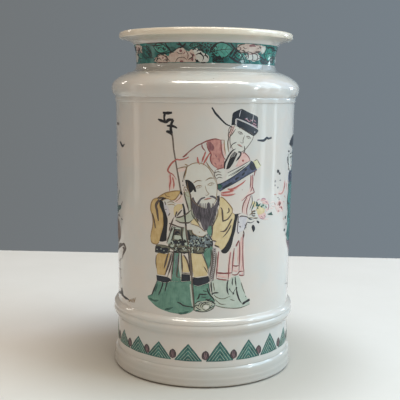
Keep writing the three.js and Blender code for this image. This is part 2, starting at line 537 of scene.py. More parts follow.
deep_green = make_enamel("deep_green", (60, 100, 88), (22, 50, 46), 0.12, 2.5)
sage = make_enamel("sage_green", (180, 186, 170), (140, 150, 134), 0.14, 3.0)
celadon = make_enamel("celadon_green", (182, 192, 182), (154, 170, 158), 0.14, 6.0, 0.25)
navy = make_enamel("navy_blue", (92, 100, 122), (40, 48, 70), 0.14, 2.6, 0.3)
lilac = make_enamel("pale_lilac", (200, 200, 202), (170, 170, 182), 0.16, 3.5, 0.3)
aubergine = make_enamel("aubergine", (126, 104, 108), (78, 58, 66), 0.14, 2.4)
paper = make_enamel("cream_paper", (208, 210, 204), (190, 192, 182), 0.18, 3.5, 0.3)
umber = make_enamel("umber_line", (146, 118, 78), (92, 70, 42), 0.35, 2.2)
bark = make_enamel("bark_line", (130, 110, 98), (82, 66, 58), 0.35, 2.2)
maroon = make_enamel("maroon_line", (138, 74, 72), (92, 36, 40), 0.4, 2.2)
charcoal = make_enamel("charcoal_hair", (104, 98, 106), (40, 38, 44), 0.34, 1.6, 0.15, 0.8)
slate = make_enamel("slate_blue", (122, 136, 140), (56, 72, 82), 0.14, 1.4)
moss = make_enamel("brown_green", (118, 118, 102), (56, 56, 48), 0.16, 1.4)
teal = make_enamel("teal_green", (74, 138, 130), (20, 76, 76), 0.08, 6.0, 0.2)
pine = make_enamel("pine", (64, 112, 106), (12, 54, 54), 0.08, 6.0, 0.2)
mauve = make_enamel("mauve", (176, 142, 152), (134, 92, 108), 0.2, 2.0)
ash = make_enamel("ash_grey", (172, 170, 168), (128, 126, 128), 0.16, 1.4)
bright = make_enamel("bright_green", (94, 166, 152), (30, 116, 104), 0.08, 5.0, 0.2)
plum = make_enamel("plum_wash", (146, 102, 102), (108, 64, 70), 0.3, 2.0, 0.1)
wood = make_enamel("staff_brown", (112, 100, 90), (58, 50, 44), 0.3, 1.8)
bloom = make_enamel("blossom_beige", (208, 198, 188), (186, 160, 148), 0.2, 3.0, 0.1)
print("Enamels made:", len([m for m in bpy.data.materials if m.use_nodes]))

# %% [markdown]
# A wash or a stroke is first drawn flat, in millimetres on the unrolled jar, and then laid on the
# surface. A path is written as pairs of numbers, across,height, and its points are joined by a smooth
# curve, except where it turns sharply: there the brush was lifted, and the corner stays.

# %% Flowing lines
CORNER = math.radians(58)


def turns_sharply(before, here, after):
    a = np.subtract(here, before)
    b = np.subtract(after, here)
    reach_a, reach_b = np.hypot(*a), np.hypot(*b)
    if reach_a < 1e-9 or reach_b < 1e-9:
        return True
    return math.acos(np.clip(a @ b / (reach_a * reach_b), -1, 1)) > CORNER


def pairs(path):
    """The points of a path, whether it is written as pairs of numbers or as points."""
    return np.array(path, float).reshape(-1, 2)


def flow(path, closed=False, step=0.8):
    """A smooth line through the points, with a point about every step millimetres."""
    points = list(pairs(path))
    count = len(points)
    line = []
    for i in range(count if closed else count - 1):
        here, after = points[i], points[(i + 1) % count]
        before = points[i - 1] if closed or i else None
        beyond = points[(i + 2) % count] if closed or i + 2 < count else None
        if before is None or turns_sharply(before, here, after):
            before = 2 * here - after
        if beyond is None or turns_sharply(here, after, beyond):
            beyond = 2 * after - here
        steps = max(1, math.ceil(math.dist(here, after) / step))
        for t in np.arange(steps) / steps:
            line.append(0.5 * (2 * here + (after - before) * t
                               + (2 * before - 5 * here + 4 * after - beyond) * t * t
                               + (3 * here - before - 3 * after + beyond) * t ** 3))
    if not closed:
        line.append(points[-1])
    return np.array(line)


# %% [markdown]
# A film needs three things from its outline: which way is inward, how far a place is from the edge,
# and whether it lies inside at all.

# %% Measures on a flat sketch
def sideways_of(along):
    """Unit vectors square to a line's directions, to its left."""
    return np.stack([-along[:, 1], along[:, 0]], 1) / np.maximum(np.hypot(*along.T), 1e-9)[:, None]


def distance_to_edge(places, edge):
    """Distance from each place to a closed edge, in millimetres."""
    start, end = edge, np.roll(edge, -1, 0)
    along = end - start
    length = np.maximum((along ** 2).sum(1), 1e-12)
    offset = places[:, None] - start
    share = np.clip((offset * along).sum(2) / length, 0, 1)
    return np.sqrt(((offset - share[..., None] * along) ** 2).sum(2)).min(1)


def inside_edge(places, edge):
    """True for each place inside a closed edge."""
    start, end = edge, np.roll(edge, -1, 0)
    x, y = places[:, 0, None], places[:, 1, None]
    crosses = (start[:, 1] > y) != (end[:, 1] > y)
    rise = np.where(end[:, 1] == start[:, 1], 1e-12, end[:, 1] - start[:, 1])
    at = start[:, 0] + (y - start[:, 1]) * (end[:, 0] - start[:, 0]) / rise
    return (crosses & (x < at)).sum(1) % 2 == 1


# %% [markdown]
# Fired enamel stands a little proud of the glaze. So a wash is a thin closed film with a domed rim:
# its outline is filled with triangles, copied as an underside and closed at the edge. An image on
# the glaze would be flat, and blur when seen close.

# %% Washes
WASH, OVER, TOP, LINE = range(4) # layers of enamel, each laid on the one before
FILM = 0.055 # thickness of a fired wash
LAYER = 0.032 # how much higher each layer lies
BURIED = -0.04 # the underside of an enamel, melted into the glaze
RIM = 0.4 # width of a wash's domed rim
POOL = 1.5 # how far from its edge a wash pools
GRAIN = 1.7 # spacing of the points inside a wash


class Film:
    """Gathers the washes of one colour, and ends as one piece."""

    def __init__(self, name, material, layer, girth=GIRTH):
        self.name = name
        self.material = material
        self.layer = layer
        self.girth = girth
        self.points = []
        self.faces = []
        self.pool = []

    def keep(self, flat, lift, faces, pool):
        """Adds a closed shell whose flat places and lifts are given."""
        first = len(self.points)
        self.points.extend(on_jar(flat[:, 0], flat[:, 1], lift, self.girth))
        self.faces.extend([first + i for i in face] for face in faces)
        self.pool.extend(pool)

    def wash(self, *outlines):
        """Fills each closed outline with a film that is domed at its rim."""
        for outline in outlines:
            edge = flow(outline, closed=True, step=0.9)
            low, high = edge.min(0), edge.max(0)
            levels = np.arange(low[1], high[1], GRAIN * 0.87)
            rows = [(x + (row % 2) * GRAIN / 2, y) for row, y in enumerate(levels)
                    for x in np.arange(low[0], high[0] + GRAIN, GRAIN)]
            inward = sideways_of(np.roll(edge, -1, 0) - np.roll(edge, 1, 0)) * 0.3
            places = np.concatenate([pairs(rows), edge + inward, edge - inward])
            places = places[inside_edge(places, edge)]
            places = places[distance_to_edge(places, edge) > 0.24] if len(places) else places
            drawn = [Vector(p) for p in edge] + [Vector(p) for p in places]
            found, _, triangles, _, _, _ = delaunay_2d_cdt(drawn, [], [list(range(len(edge)))], 1, 1e-4)
            flat = np.array([tuple(p) for p in found])
            self.keep_film(flat, triangles, edge)
        return self

    def keep_film(self, flat, triangles, edge):
        """Gives a flat triangulation its two faces and its rim."""
        count = len(flat)
        once = {}
        for face in triangles:
            for a, b in zip(face, face[1:] + face[:1]):
                if (b, a) in once:
                    del once[(b, a)]
                else:
                    once[(a, b)] = True
        away = distance_to_edge(flat, edge)
        height = self.layer * LAYER + FILM * np.sqrt(np.clip(away / RIM, 0.02, 1))
        faces = [list(face) for face in triangles]
        faces += [[i + count for i in reversed(face)] for face in triangles]
        faces += [[b, a, a + count, b + count] for a, b in once]
        lift = np.concatenate([height, np.full(count, BURIED)])
        pool = list(np.clip(away / POOL, 0, 1)) * 2
        self.keep(np.concatenate([flat, flat]), lift, faces, pool)

    def draw(self):
        """The gathered enamel as a mesh that carries its pool."""
        thing = make_mesh(self.name, self.points, self.faces, self.material)
        store = thing.data.attributes.new("pool", "FLOAT", "POINT")
        store.data.foreach_set("value", np.array(self.pool, dtype=np.float32))
        print(self.name, "faces:", len(self.faces))
        return thing

    def piece(self):
        return adopt(self.draw())


# %% [markdown]
# A stroke is a low ridge along a flowing line. It swells where the brush is pressed and tapers where
# it is lifted, and a little chance from a fixed seed keeps the strokes from being all alike.

# %% Brush strokes
BRUSH = 1.2 # how far a stroke spreads beyond its sketched width
EIGHTH, FIFTH, FULL_TURN = 0.785, 1.257, 6.28 # shares of a turn, in radians
hand = random.Random(11)


class Enamel(Film):
    """A film that is also brushed on: strokes, hairs and dots."""

    def stroke(self, *points, width=0.8, ends=(0.55, 0.25)):
        """One brush stroke through the points. ends are the shares of the width at its two tips."""
        path = flow(points, step=0.7)
        sideways = sideways_of(np.gradient(path, axis=0))
        t = np.linspace(0, 1, len(path))
        press = np.minimum(1, ends[0] + (1 - ends[0]) * t * 5)
        press = press * np.minimum(1, ends[1] + (1 - ends[1]) * (1 - t) * 3.5)
        press = press * (1 + 0.13 * np.sin(t * hand.uniform(5, 11) + hand.uniform(0, 6)))
        profile = ((-1, BURIED), (-0.8, 0.62), (0, 1), (0.8, 0.62), (1, BURIED))
        flat, lift, pool = [], [], []
        for share, rise in profile:
            flat.append(path + sideways * (press * width * BRUSH / 2 * share)[:, None])
            top = self.layer * LAYER + FILM * rise if rise > 0 else BURIED
            lift.append(np.full(len(path), top))
            pool.append(np.full(len(path), 1 - abs(share)))
        count = len(path)
        sides = zip(range(5), (1, 2, 3, 4, 0))
        faces = [[a * count, b * count, b * count + 1, a * count + 1] for a, b in sides]
        faces = [[i + row for i in face] for row in range(count - 1) for face in faces]
        faces += [[i * count for i in range(5)], [i * count + count - 1 for i in reversed(range(5))]]
        self.keep(np.concatenate(flat), np.concatenate(lift), faces, np.concatenate(pool))
        return self

    def dot(self, across, height, size, tall=None):
        """A round touch of the brush."""
        tall = tall or size
        turn = hand.uniform(0, 1)
        angles = [turn + i * EIGHTH for i in range(8)]
        wide, high = size / 2, tall / 2
        return self.wash([(across + wide * math.cos(a), height + high * math.sin(a)) for a in angles])

    def dots(self, size, *places):
        for across, height in pairs(places):
            self.dot(across, height, size)
        return self

    def hairs(self, left, right, count, width=0.5):
        """Strokes side by side, from one guide stroke to another."""
        left, right = pairs(left), pairs(right)
        for i in range(count):
            share = (i + hand.uniform(-0.25, 0.25)) / max(1, count - 1)
            middle = left * (1 - share) + right * share
            self.stroke(*middle, width=width * hand.uniform(0.7, 1.25), ends=(0.7, 0.15))
        return self

    def strokes(self, width, *paths, ends=(0.55, 0.25)):
        for path in paths:
            self.stroke(*path, width=width, ends=ends)
        return self


def washed(name, material, layer, *outlines):
    """A piece that is all wash."""
    return Enamel(name, material, layer).wash(*outlines).piece()


def lined(name, material, layer, width, *paths, **more):
    """A piece that is all strokes of one width."""
    return Enamel(name, material, layer).strokes(width, *paths, **more).piece()


# %% [markdown]
# ## The border on the foot
# Green triangles, filled with nested pale chevrons, stand round the drum with a small aubergine drop
# between each two. The painter set them out by eye. So one triangle is made once, and Geometry Nodes
# lay it at marks round the drum, each with its own turn and height.

# %% One triangle and one drop, at the front of the drum
DRUM_GIRTH = DRUM_RADIUS
BORDER_FOOT = 20.0
TRIANGLE_HALF = 10.2
TRIANGLE_TALL = 13.2


def chevron(inset):
    """An angle inside the triangle, inset millimetres from its two sides."""
    slope = TRIANGLE_TALL / TRIANGLE_HALF
    rise = inset * math.hypot(1, slope)
    half = TRIANGLE_HALF - rise / slope
    foot = BORDER_FOOT + 0.3
    return [(-half, foot), (0, BORDER_FOOT + TRIANGLE_TALL - rise), (half, foot)]


triangle = Enamel("border_triangles", teal, WASH, DRUM_GIRTH).wash([(-TRIANGLE_HALF, BORDER_FOOT),
    (0, BORDER_FOOT + TRIANGLE_TALL), (TRIANGLE_HALF, BORDER_FOOT)])
pale_angles = Enamel("border_pale_angles", sage, LINE, DRUM_GIRTH)
dark_angles = Enamel("border_dark_angles", pine, OVER, DRUM_GIRTH)
LINE_STEP = 1.9 # from one pale line to the next, square to the side
for i in range(4):
    for enamel, inset, width in ((dark_angles, 0.4 + i * LINE_STEP, 1.1),
            (pale_angles, 1.35 + i * LINE_STEP, 0.22)):
        left, top, right = chevron(inset)
        enamel.strokes(width, (left, top), (top, right), ends=(0.8, 0.8))
dark_angles.stroke((-TRIANGLE_HALF, BORDER_FOOT + 0.1), (TRIANGLE_HALF, BORDER_FOOT + 0.1), width=0.8,
    ends=(0.8, 0.8))
dark_angles.wash([(-1.4, BORDER_FOOT + 0.4), (0, BORDER_FOOT + 2.4), (1.4, BORDER_FOOT + 0.4)])
DROP = [(0, 28), (1.5, 26.8), (2.4, 24.8), (2.1, 22.4), (0, 21), (-2.1, 22.4), (-2.4, 24.8), (-1.5, 26.8)]
drop = Enamel("border_drops", aubergine, WASH, DRUM_GIRTH).wash(DROP)
drop_marks = Enamel("border_drop_marks", black, LINE, DRUM_GIRTH).strokes(0.55,
    [-1.3,26.4, -1.5,24, -0.4,22], [0.2,27.6, 0.3,24.6], [1.5,26, 1.5,23.8, 0.6,22.2], DROP[:5],
    DROP[4:] + DROP[:1])


# %% [markdown]
# The marks are bare points that carry a turn and a height. The tree copies the motif to each of them,
# makes the copies real, and gives them their enamel. A loop could do it too, but with no inputs to
# try other values on.

# %% Geometry Nodes that lay a motif at every mark
def layout_tree(name):
    """Marks carry "turn", an angle, and "tall", a height scale. The tree puts the motif at each one."""
    tree = bpy.data.node_groups.new(name, "GeometryNodeTree")
    for label, kind in (("Marks", "Geometry"), ("Motif", "Object"), ("Enamel", "Material"),
                        ("Unevenness", "Float"), ("Seed", "Int")):
        tree.interface.new_socket(label, in_out="INPUT", socket_type="NodeSocket" + kind)
    tree.interface.new_socket("Painted", in_out="OUTPUT", socket_type="NodeSocketGeometry")
    net = Network(tree)

    def given(label):
        return net.add("NodeGroupInput", {}, {}, label)

    def carried(label):
        return net.add("GeometryNodeInputNamedAttribute", {}, {"Name": label}, "Attribute")

    motif = net.add("GeometryNodeObjectInfo", {}, {"Object": given("Motif")}, "Geometry")
    uneven = net.add("FunctionNodeRandomValue", {}, {2: -1.0, 3: 1.0, "Seed": given("Seed")}, 1)
    tall = carried("tall") * (uneven * given("Unevenness") + 1.0)
    turned = net.add("ShaderNodeCombineXYZ", {}, {"Z": carried("turn")})
    scaled = net.add("ShaderNodeCombineXYZ", {}, {"X": 1.0, "Y": 1.0, "Z": tall})
    sockets = {"Points": given("Marks"), "Instance": motif, "Rotation": turned, "Scale": scaled}
    laid = net.add("GeometryNodeInstanceOnPoints", {}, sockets)
    real = net.add("GeometryNodeRealizeInstances", {}, {"Geometry": laid})
    sockets = {"Geometry": real, "Material": given("Enamel")}
    inked = net.add("GeometryNodeSetMaterial", {}, sockets)
    net.add("NodeGroupOutput", {}, {"Painted": inked})
    return tree


# %% [markdown]
# The modifier's inputs are set before it is first evaluated. Its result is kept as a plain mesh, and
# the marks and the motif are thrown away.

# %% Laying an enamel at its marks
def lay_round(enamel, marks, foot, seed):
    """Lays an enamel's motif at marks, pairs of (across, height scale), and keeps the plain mesh."""
    motif = enamel.draw()
    motif.data.transform(Matrix.Translation((0, 0, -foot * MM)))
    mesh = bpy.data.meshes.new(enamel.name + "_marks")
    mesh.from_pydata([(0, 0, foot * MM)] * len(marks), [], [])
    carried = {"turn": [across / DRUM_GIRTH for across, _ in marks], "tall": [tall for _, tall in marks]}
    for label, values in carried.items():
        mesh.attributes.new(label, "FLOAT", "POINT").data.foreach_set("value", values)
    holder = put(enamel.name + "_round", mesh)
    modifier = holder.modifiers.new("layout", "NODES")
    modifier.node_group = layout_tree(enamel.name + "_layout")
    values = {"Motif": motif, "Enamel": enamel.material, "Unevenness": 0.02, "Seed": seed}
    for socket in modifier.node_group.interface.items_tree:
        if socket.name in values:
            modifier[socket.identifier] = values[socket.name]
    evaluated = holder.evaluated_get(bpy.context.evaluated_depsgraph_get())
    painted = bpy.data.meshes.new_from_object(evaluated)
    for spare in (holder, motif):
        bpy.data.objects.remove(spare)
    print(enamel.name, "laid at", len(marks), "marks, faces:", len(painted.polygons))
    return adopt(put(enamel.name, painted))


# %% [markdown]
# The painter's spacing is uneven, so the marks that are seen are placed one by one. The rest of the
# drum is shared out evenly.

# %% The marks: those that are seen, and the rest evenly round the back
SEEN_MARKS = [(-74.5, 0.92), (-53.5, 0.95), (-33.5, 0.95), (-10.3, 0.98), (13.2, 1.14), (36, 1.07),
    (57.8, 1.13), (81, 1.04)]
SEEN_DROPS = [-64.5, -44.5, -22, 2.5, 23.7, 45.5, 70.5]
DRUM_ROUND = 2 * math.pi * DRUM_GIRTH
BACK = 11 # triangles that are not seen
first_seen, last_seen = SEEN_MARKS[0][0], SEEN_MARKS[-1][0]
gap = (DRUM_ROUND - (last_seen - first_seen)) / (BACK + 1)
marks = SEEN_MARKS + [(last_seen + gap * (i + 1), 1.02 - 0.05 * math.sin(i)) for i in range(BACK)]
drops = [(across, 1.0) for across in SEEN_DROPS]
drops += [(last_seen + gap * (i + 0.5), 1.0) for i in range(BACK + 1)]
for enamel in (triangle, pale_angles, dark_angles):
    lay_round(enamel, marks, BORDER_FOOT, 1)
for enamel in (drop, drop_marks):
    lay_round(enamel, drops, BORDER_FOOT, 2)

# %% [markdown]
# ## The band round the neck
# A ground of clear teal green runs all the way round. Blossoms in pink and white lie on it among
# outlined leaves. The ground is one closed film; blossoms and leaves are laid over it.

# %% The green ground
NECK_GIRTH = 54.5
NECK_ROUND = 2 * math.pi * NECK_GIRTH
BAND_LOW, BAND_MIDDLE, BAND_HIGH = 235.6, 243, 250.4


def curled(across, height, size, turn, count):
    """Points along a small curl of the brush."""
    return [(across + size * math.cos(turn + a), height + size * math.sin(turn + a))
            for a in (0, 1.3, 2.6, 3.9)[:count]]


def ring_film(enamel, low, high, rows):
    """A film that runs all the way round, closed on itself."""
    levels = [low + (high - low) * i / rows for i in range(rows + 1)]
    upper = [low + 0.3] + levels[1:-1] + [high - 0.3]
    section = [(low, False)] + [(height, True) for height in upper]
    section += [(height, False) for height in levels[:0:-1]]
    across = np.arange(TURNS) / TURNS * 2 * math.pi * enamel.girth
    flat, lift, pool = [], [], []
    for height, raised in section:
        flat.append(np.stack([across, np.full(TURNS, height)], 1))
        lift.append(np.full(TURNS, enamel.layer * LAYER + FILM if raised else BURIED))
        pool.append(np.full(TURNS, min(1, min(height - low, high - height) / POOL)))
    count = len(section)
    faces = []
    for row in range(count):
        for i in range(TURNS):
            j = (i + 1) % TURNS
            below, above = row * TURNS, (row + 1) % count * TURNS
            faces.append([below + i, below + j, above + j, above + i])
    enamel.keep(np.concatenate(flat), np.concatenate(lift), faces, np.concatenate(pool))
    return enamel


ring_film(Enamel("neck_ground", teal, WASH, NECK_GIRTH), BAND_LOW, BAND_HIGH, 9).piece()

# %% [markdown]
# A blossom is one loose wash with a lobed edge, a few brown petal lines and touches of red near its
# heart. A leaf is two curves that meet at its tips, with a midrib and a few veins.

# %% Blossoms and leaves
neck_petals = Enamel("neck_blossoms", bloom, OVER, NECK_GIRTH)
neck_brown = Enamel("neck_petal_lines", brown, LINE, NECK_GIRTH)
neck_depth = Enamel("neck_dark_ground", pine, OVER, NECK_GIRTH)
neck_bright = Enamel("neck_bright_leaves", bright, OVER, NECK_GIRTH)
neck_white = Enamel("neck_white_petals", paper, OVER, NECK_GIRTH)
neck_lines = Enamel("neck_outlines", black, LINE, NECK_GIRTH)
neck_hearts = Enamel("neck_blossom_hearts", plum, TOP, NECK_GIRTH)
neck_leaves = Enamel("neck_leaves", deep_green, OVER, NECK_GIRTH)


def in_band(points):
    """Keeps a sketch inside the band."""
    return [(x, min(max(z, BAND_LOW + 0.4), BAND_HIGH - 0.4)) for x, z in pairs(points)]


def leaf(tail, tip, width, fill=neck_leaves):
    """A pointed leaf from tail to tip, washed in the enamel fill, or only outlined."""
    tail, tip = np.array(tail, float), np.array(tip, float)
    along = tip - tail
    side = np.array([-along[1], along[0]]) / np.hypot(*along) * width / 2
    upper, lower = ([tail, tail + along * 0.3 + bulge, tail + along * 0.65 + bulge * 0.9, tip]
                    for bulge in (side, -side))
    if fill:
        fill.wash(in_band(upper + lower[-2:0:-1]))
    neck_lines.strokes(0.75, in_band(upper), in_band(lower), ends=(0.5, 0.3))
    neck_lines.stroke(*in_band([tail, tail + along * 0.5 + side * 0.1, tip]), width=0.45)
    for i in range(3):
        root = tail + along * (0.2 + 0.2 * i)
        for way in (1, -1):
            neck_lines.stroke(*in_band([root, root + along * 0.16 + side * 0.6 * way]), width=0.3)


# %% A blossom
petal_hand = random.Random(5)


def blossom(across, height, wide, tall, lobes, red, colour=neck_petals):
    """A full blossom with that half width and half height, and red touches at its heart."""
    edge = []
    for i in range(lobes * 3):
        angle = i * 2 * math.pi / (lobes * 3)
        reach = (0.84, 1.02, 1.0)[i % 3] * petal_hand.uniform(0.92, 1.08)
        edge.append((across + wide * reach * math.sin(angle), height + tall * reach * math.cos(angle)))
    colour.wash(in_band(edge))
    for i in range(lobes):
        if petal_hand.random() < 0.75:
            arc = [(across + (x - across) * share, height + (z - height) * share)
                   for (x, z), share in zip(edge[i * 3:i * 3 + 4], (1.05, 0.72, 0.68, 0.9))]
            neck_brown.stroke(*in_band(arc), width=petal_hand.uniform(0.45, 0.8))
    for i in range(red):
        angle = petal_hand.uniform(0, FULL_TURN)
        root = (across + wide * 0.15 * math.sin(angle), height + tall * 0.15 * math.cos(angle))
        tip = (across + wide * 0.5 * math.sin(angle), height + tall * 0.5 * math.cos(angle))
        neck_hearts.stroke(*in_band([root, tip]), width=petal_hand.uniform(0.8, 1.5))


# %% [markdown]
# The front is laid out one by one, as it was painted: blossoms first, then leaves, and black lines last.
# A scatter by rule would look too even for brushwork.

# %% The front of the band, as it is seen: blossoms
blossom(-65, 246.6, 8.5, 4.6, 7, red=7)
blossom(-34, 238.2, 8.4, 3.8, 8, red=1)
neck_petals.wash(in_band([-28,235, -28.6,239.6, -27.4,242.8, -24.4,243.4, -22.4,244.6, -20.6,246.2,
    -17,246.6, -14.6,244.6, -12.2,243.8, -10.4,245.4, -7.6,244, -6.6,240, -7,235, -16,234.8]))
neck_white.wash(in_band([-9.8,243, -9.4,245.4, -6,246, -3.8,244.4, -1.8,242.8, 0.6,242, 2.4,240, 2,237,
    0.2,235, -4,235, -6.6,236.4, -7.4,239.6]))
blossom(35, 246.8, 13.5, 4.2, 9, red=0)
neck_hearts.stroke(32.6,248.4, 35.6,248.9, 39,248.3, width=1.6)
blossom(38, 240.8, 8.2, 3.2, 7, colour=neck_white, red=0)
neck_white.wash([44.6,245, 46,248.4, 49.4,249.2, 51,247, 49.6,244.4, 46.6,243])
neck_brown.strokes(0.5, [-40,238.4, -38,240.4, -35.4,241.4], [-35,241.4, -32.4,241, -30,239],
    [-33,237, -31,238.4, -28.4,238, -27,236.4], [-27.6,241.8, -25.6,243, -23.4,242.8],
    [-22.6,236.4, -20.6,239, -16.4,239.6, -13.4,237.4], [-21.6,243.6, -19.4,242, -16.6,242.6],
    [-14.4,244.2, -12.8,241, -13.6,238.4], [27.6,247.6, 29.4,246.2, 31.2,247],
    [41,246.8, 43.4,247.8, 45,246.6])
for touch in ((-18.4, 244.2, 2.6, 2.2), (-17.8, 236.8, 3.4, 1.6), (-9.6, 238, 1.8, 2.6),
        (-8.8, 241, 1.6, 2.2)):
    neck_hearts.dot(*touch)
neck_hearts.strokes(0.7, [-11.4,243, -10,241.4, -8.2,241], [-10.8,237.8, -9,239.6],
    [-15,243.4, -16.4,241.8], [30,243.6, 35,242.7, 41.6,243.8])

# %% The front of the band: leaves and black lines
for tail, tip, width, fill in (((-57, 247.6), (-44, 239.4), 6, None),
        ((-42, 247.4), (-27.6, 245), 6.4, neck_bright), ((-46, 240), (-50, 249), 4, None),
        ((-12, 247.6), (-3.4, 248.6), 2.8, neck_bright), ((4, 243.6), (20, 245.8), 10.4, neck_bright),
        ((20.6, 243.6), (29.6, 238.4), 4, neck_bright), ((49.6, 242.8), (65, 244.6), 9.4, neck_bright),
        ((45.6, 238), (56, 237.8), 2.8, neck_leaves), ((5.6, 238.4), (12.6, 238), 3.4, neck_leaves),
        ((60, 238), (70, 242), 4, neck_leaves)):
    leaf(tail, tip, width, fill=fill)
neck_lines.strokes(1.15, [-30.2,250.2, -29.4,247.8, -27.4,245.4, -26.2,243.4],
    [-21.2,249, -18.4,248.2, -16.4,246.6], [-14.2,249.4, -16.6,247.2, -19,245.8], [-19.4,250, -17.4,248],
    [7.4,249.6, 4.6,246.6, 2.8,243.6], [17.4,249.8, 20.8,246.6, 17.2,240.4],
    [23.8,245.4, 21,242.2, 19,239.6], [17,240.6, 20.4,238.4, 24.6,236], [19,240, 22.4,237.8, 26.6,236.2])
neck_lines.strokes(0.85, [-7.4,241.2, -5,242.3, -2.8,241.4, -1.6,239.4, -2.4,237.2],
    [-7.6,238.4, -6.4,236.8, -4.4,236.6], [-3.4,236, -1.6,235.9, 0.2,236.2],
    [-6.6,243.6, -5.2,244.8, -3.4,244.2], [-1.4,240.8, 0.6,240.6, 1.8,238.6],
    [-45,248.8, -38,248.2, -32,248.6], [-58,243.6, -55,240.6, -50,238],
    [50,249.2, 54,247.8, 59,248.8, 66,246.8, 74,247.2], [44,241.6, 48,240.4, 52,238.8],
    [33.6,238.6, 35,236.6], [-9.4,244.6, -8,245.6, -6.8,244.8])
neck_brown.stroke(-49,250, -40,250, -26,249.9, width=0.7)
for x, z, size in ((4.6, 241.4, 1.5), (6.6, 238.6, 1.3), (9.8, 239.4, 1.4), (20.4, 240.4, 1.5),
        (22.6, 245.6, 1.2), (46.4, 240, 1.4), (49.6, 238, 1.3), (52.6, 239.2, 1.2), (62.4, 247.4, 1.3),
        (-4.4, 247, 1.2), (-31.4, 246, 1.2)):
    turn = petal_hand.uniform(0, FULL_TURN)
    neck_lines.stroke(*in_band(curled(x, z, size, turn, 4)), width=0.85, ends=(0.8, 0.4))
for i in range(30):
    across, height = (-3 + i % 6 * 1.9 + petal_hand.uniform(-0.5, 0.5), 242.4 + i // 6 * 1.6)
    turn = petal_hand.uniform(0, FULL_TURN)
    neck_lines.stroke((across, height), (across + 0.8 * math.sin(turn), height + 0.8 * math.cos(turn)),
        (across + 1.5 * math.sin(turn + 0.8), height + 1.5 * math.cos(turn + 0.8)), width=0.8,
        ends=(0.7, 0.4))
for i in range(12):
    neck_lines.dot(5.6 + i % 4 * 2.2 + petal_hand.uniform(-0.4, 0.4), 236.8 + i // 4 * 1.5, 1.2)
neck_depth.wash([4,236.4, 4.6,240, 8,240.8, 13,240.4, 17.6,239.6, 16,237, 12,236.2],
    [-28.6,246.6, -26,247.2, -22.4,246.6, -21.6,245, -25,243.6, -28,244],
    [-17.6,248.4, -14,248.6, -11.6,246.6, -13.4,245, -16.6,246.6], [45.4,239.4, 49,239.8, 55,238.8,
    56,236.6, 50,236, 46,236.4], [60,248.8, 66,249, 72,247.6, 66,246.4, 61,247],
    [-6.6,246, -3,248.6, -0.6,247, -2.6,244.4, -5.6,243.8])
neck_lines.strokes(0.7, [-42,237.6, -38,241.5, -33,242.2, -28.6,242.8, -25,243.8, -21.6,245.4, -17,246.8,
    -13.4,245, -11,245.6, -9,244.6], [21.6,249.6, 22.4,246.2, 25,244, 28.6,243.6, 31,241.4, 30,238.6],
    [46.6,244.6, 44.6,241.4, 46.6,239.6], [32,243.6, 33,240.6, 31.6,238.4],
    [36.6,243, 37.4,240, 36.4,237.8], [41,243.2, 42.4,240.4, 41.4,238], [54,236.4, 58,238.4, 62,242],
    [24,237, 26.6,239.6, 27.4,242.6])
neck_brown.strokes(0.8, [23,246.6, 25,248.8, 28.6,249.6], [28,245.6, 30.4,243.6, 33,244.6],
    [39,244.6, 42,244, 45.4,245.6], [-40.6,237, -37,239.4, -34.6,237.6],
    [-31,241, -29,238.4, -29.4,236.6], [-12.6,238, -9.6,239.8, -10,242.6])
neck_lines.dots(1.3, -26.4,243.4, -38.6,239, -30.4,237.4, -17,247.4, -20,248.6, -6,237.4, 29.4,237.4,
    -37,246)

# %% [markdown]
# Round the back the same motifs repeat in a loop, with chance in their sizes. The seed is fixed, so
# the jar comes out the same each time.

# %% The back of the band, guessed in the same manner
def in_middle(across, up, way):
    """A place in the band: up millimetres above its middle, or below it where way is -1."""
    return across, BAND_MIDDLE + up * way


across, last = 74.0, NECK_ROUND - 78 # where the part that is seen ends, on either side
while across < last:
    size = hand.uniform(5.4, 8)
    rise = hand.choice((-1, 1))
    colour = hand.choice((neck_petals, neck_petals, neck_white))
    centre, beyond = across + size, across + 2 * size
    blossom(*in_middle(centre, 2.4, rise), size, 4.2, hand.choice((6, 7, 8)), colour=colour,
        red=hand.choice((0, 2, 4)))
    leaf(in_middle(beyond + 0.6, -2.4, rise), in_middle(beyond + 9.5, 3.4, rise), 5.6,
        fill=hand.choice((neck_bright, None)))
    leaf(in_middle(centre - 4, -3.8, rise), in_middle(centre + 5, -5.2, rise), 2.8)
    neck_lines.stroke(in_middle(centre, -5, rise), in_middle(beyond, 0, rise),
        in_middle(beyond + 5, -4, rise), width=0.9)
    for i in range(7):
        neck_lines.dot(beyond + hand.uniform(0, 9), BAND_MIDDLE + hand.uniform(-6, 6), 1.1)
    across += 2 * size + 10
for enamel in (neck_depth, neck_petals, neck_white, neck_bright, neck_leaves, neck_hearts, neck_brown,
        neck_lines):
    enamel.piece()

# %% [markdown]
# ## Heads
# The painting shows three figures of the common Chinese repertoire, of a kind seen on many such jars.
# Their faces here are calm and general, built on the proportions of the drawing book: eyes half way up
# the head, the foot of the nose a little over a quarter, one eye's width between the eyes.

# %% A head by the drawing book
def head_places(chin, crown):
    """A function that turns a path in head units, across the middle and up from the chin, into points."""
    chin, crown = np.array(chin, float), np.array(crown, float)
    up = crown - chin
    right = np.array([up[1], -up[0]])
    return lambda *path: [tuple(chin + right * across + up * height) for across, height in pairs(path)]


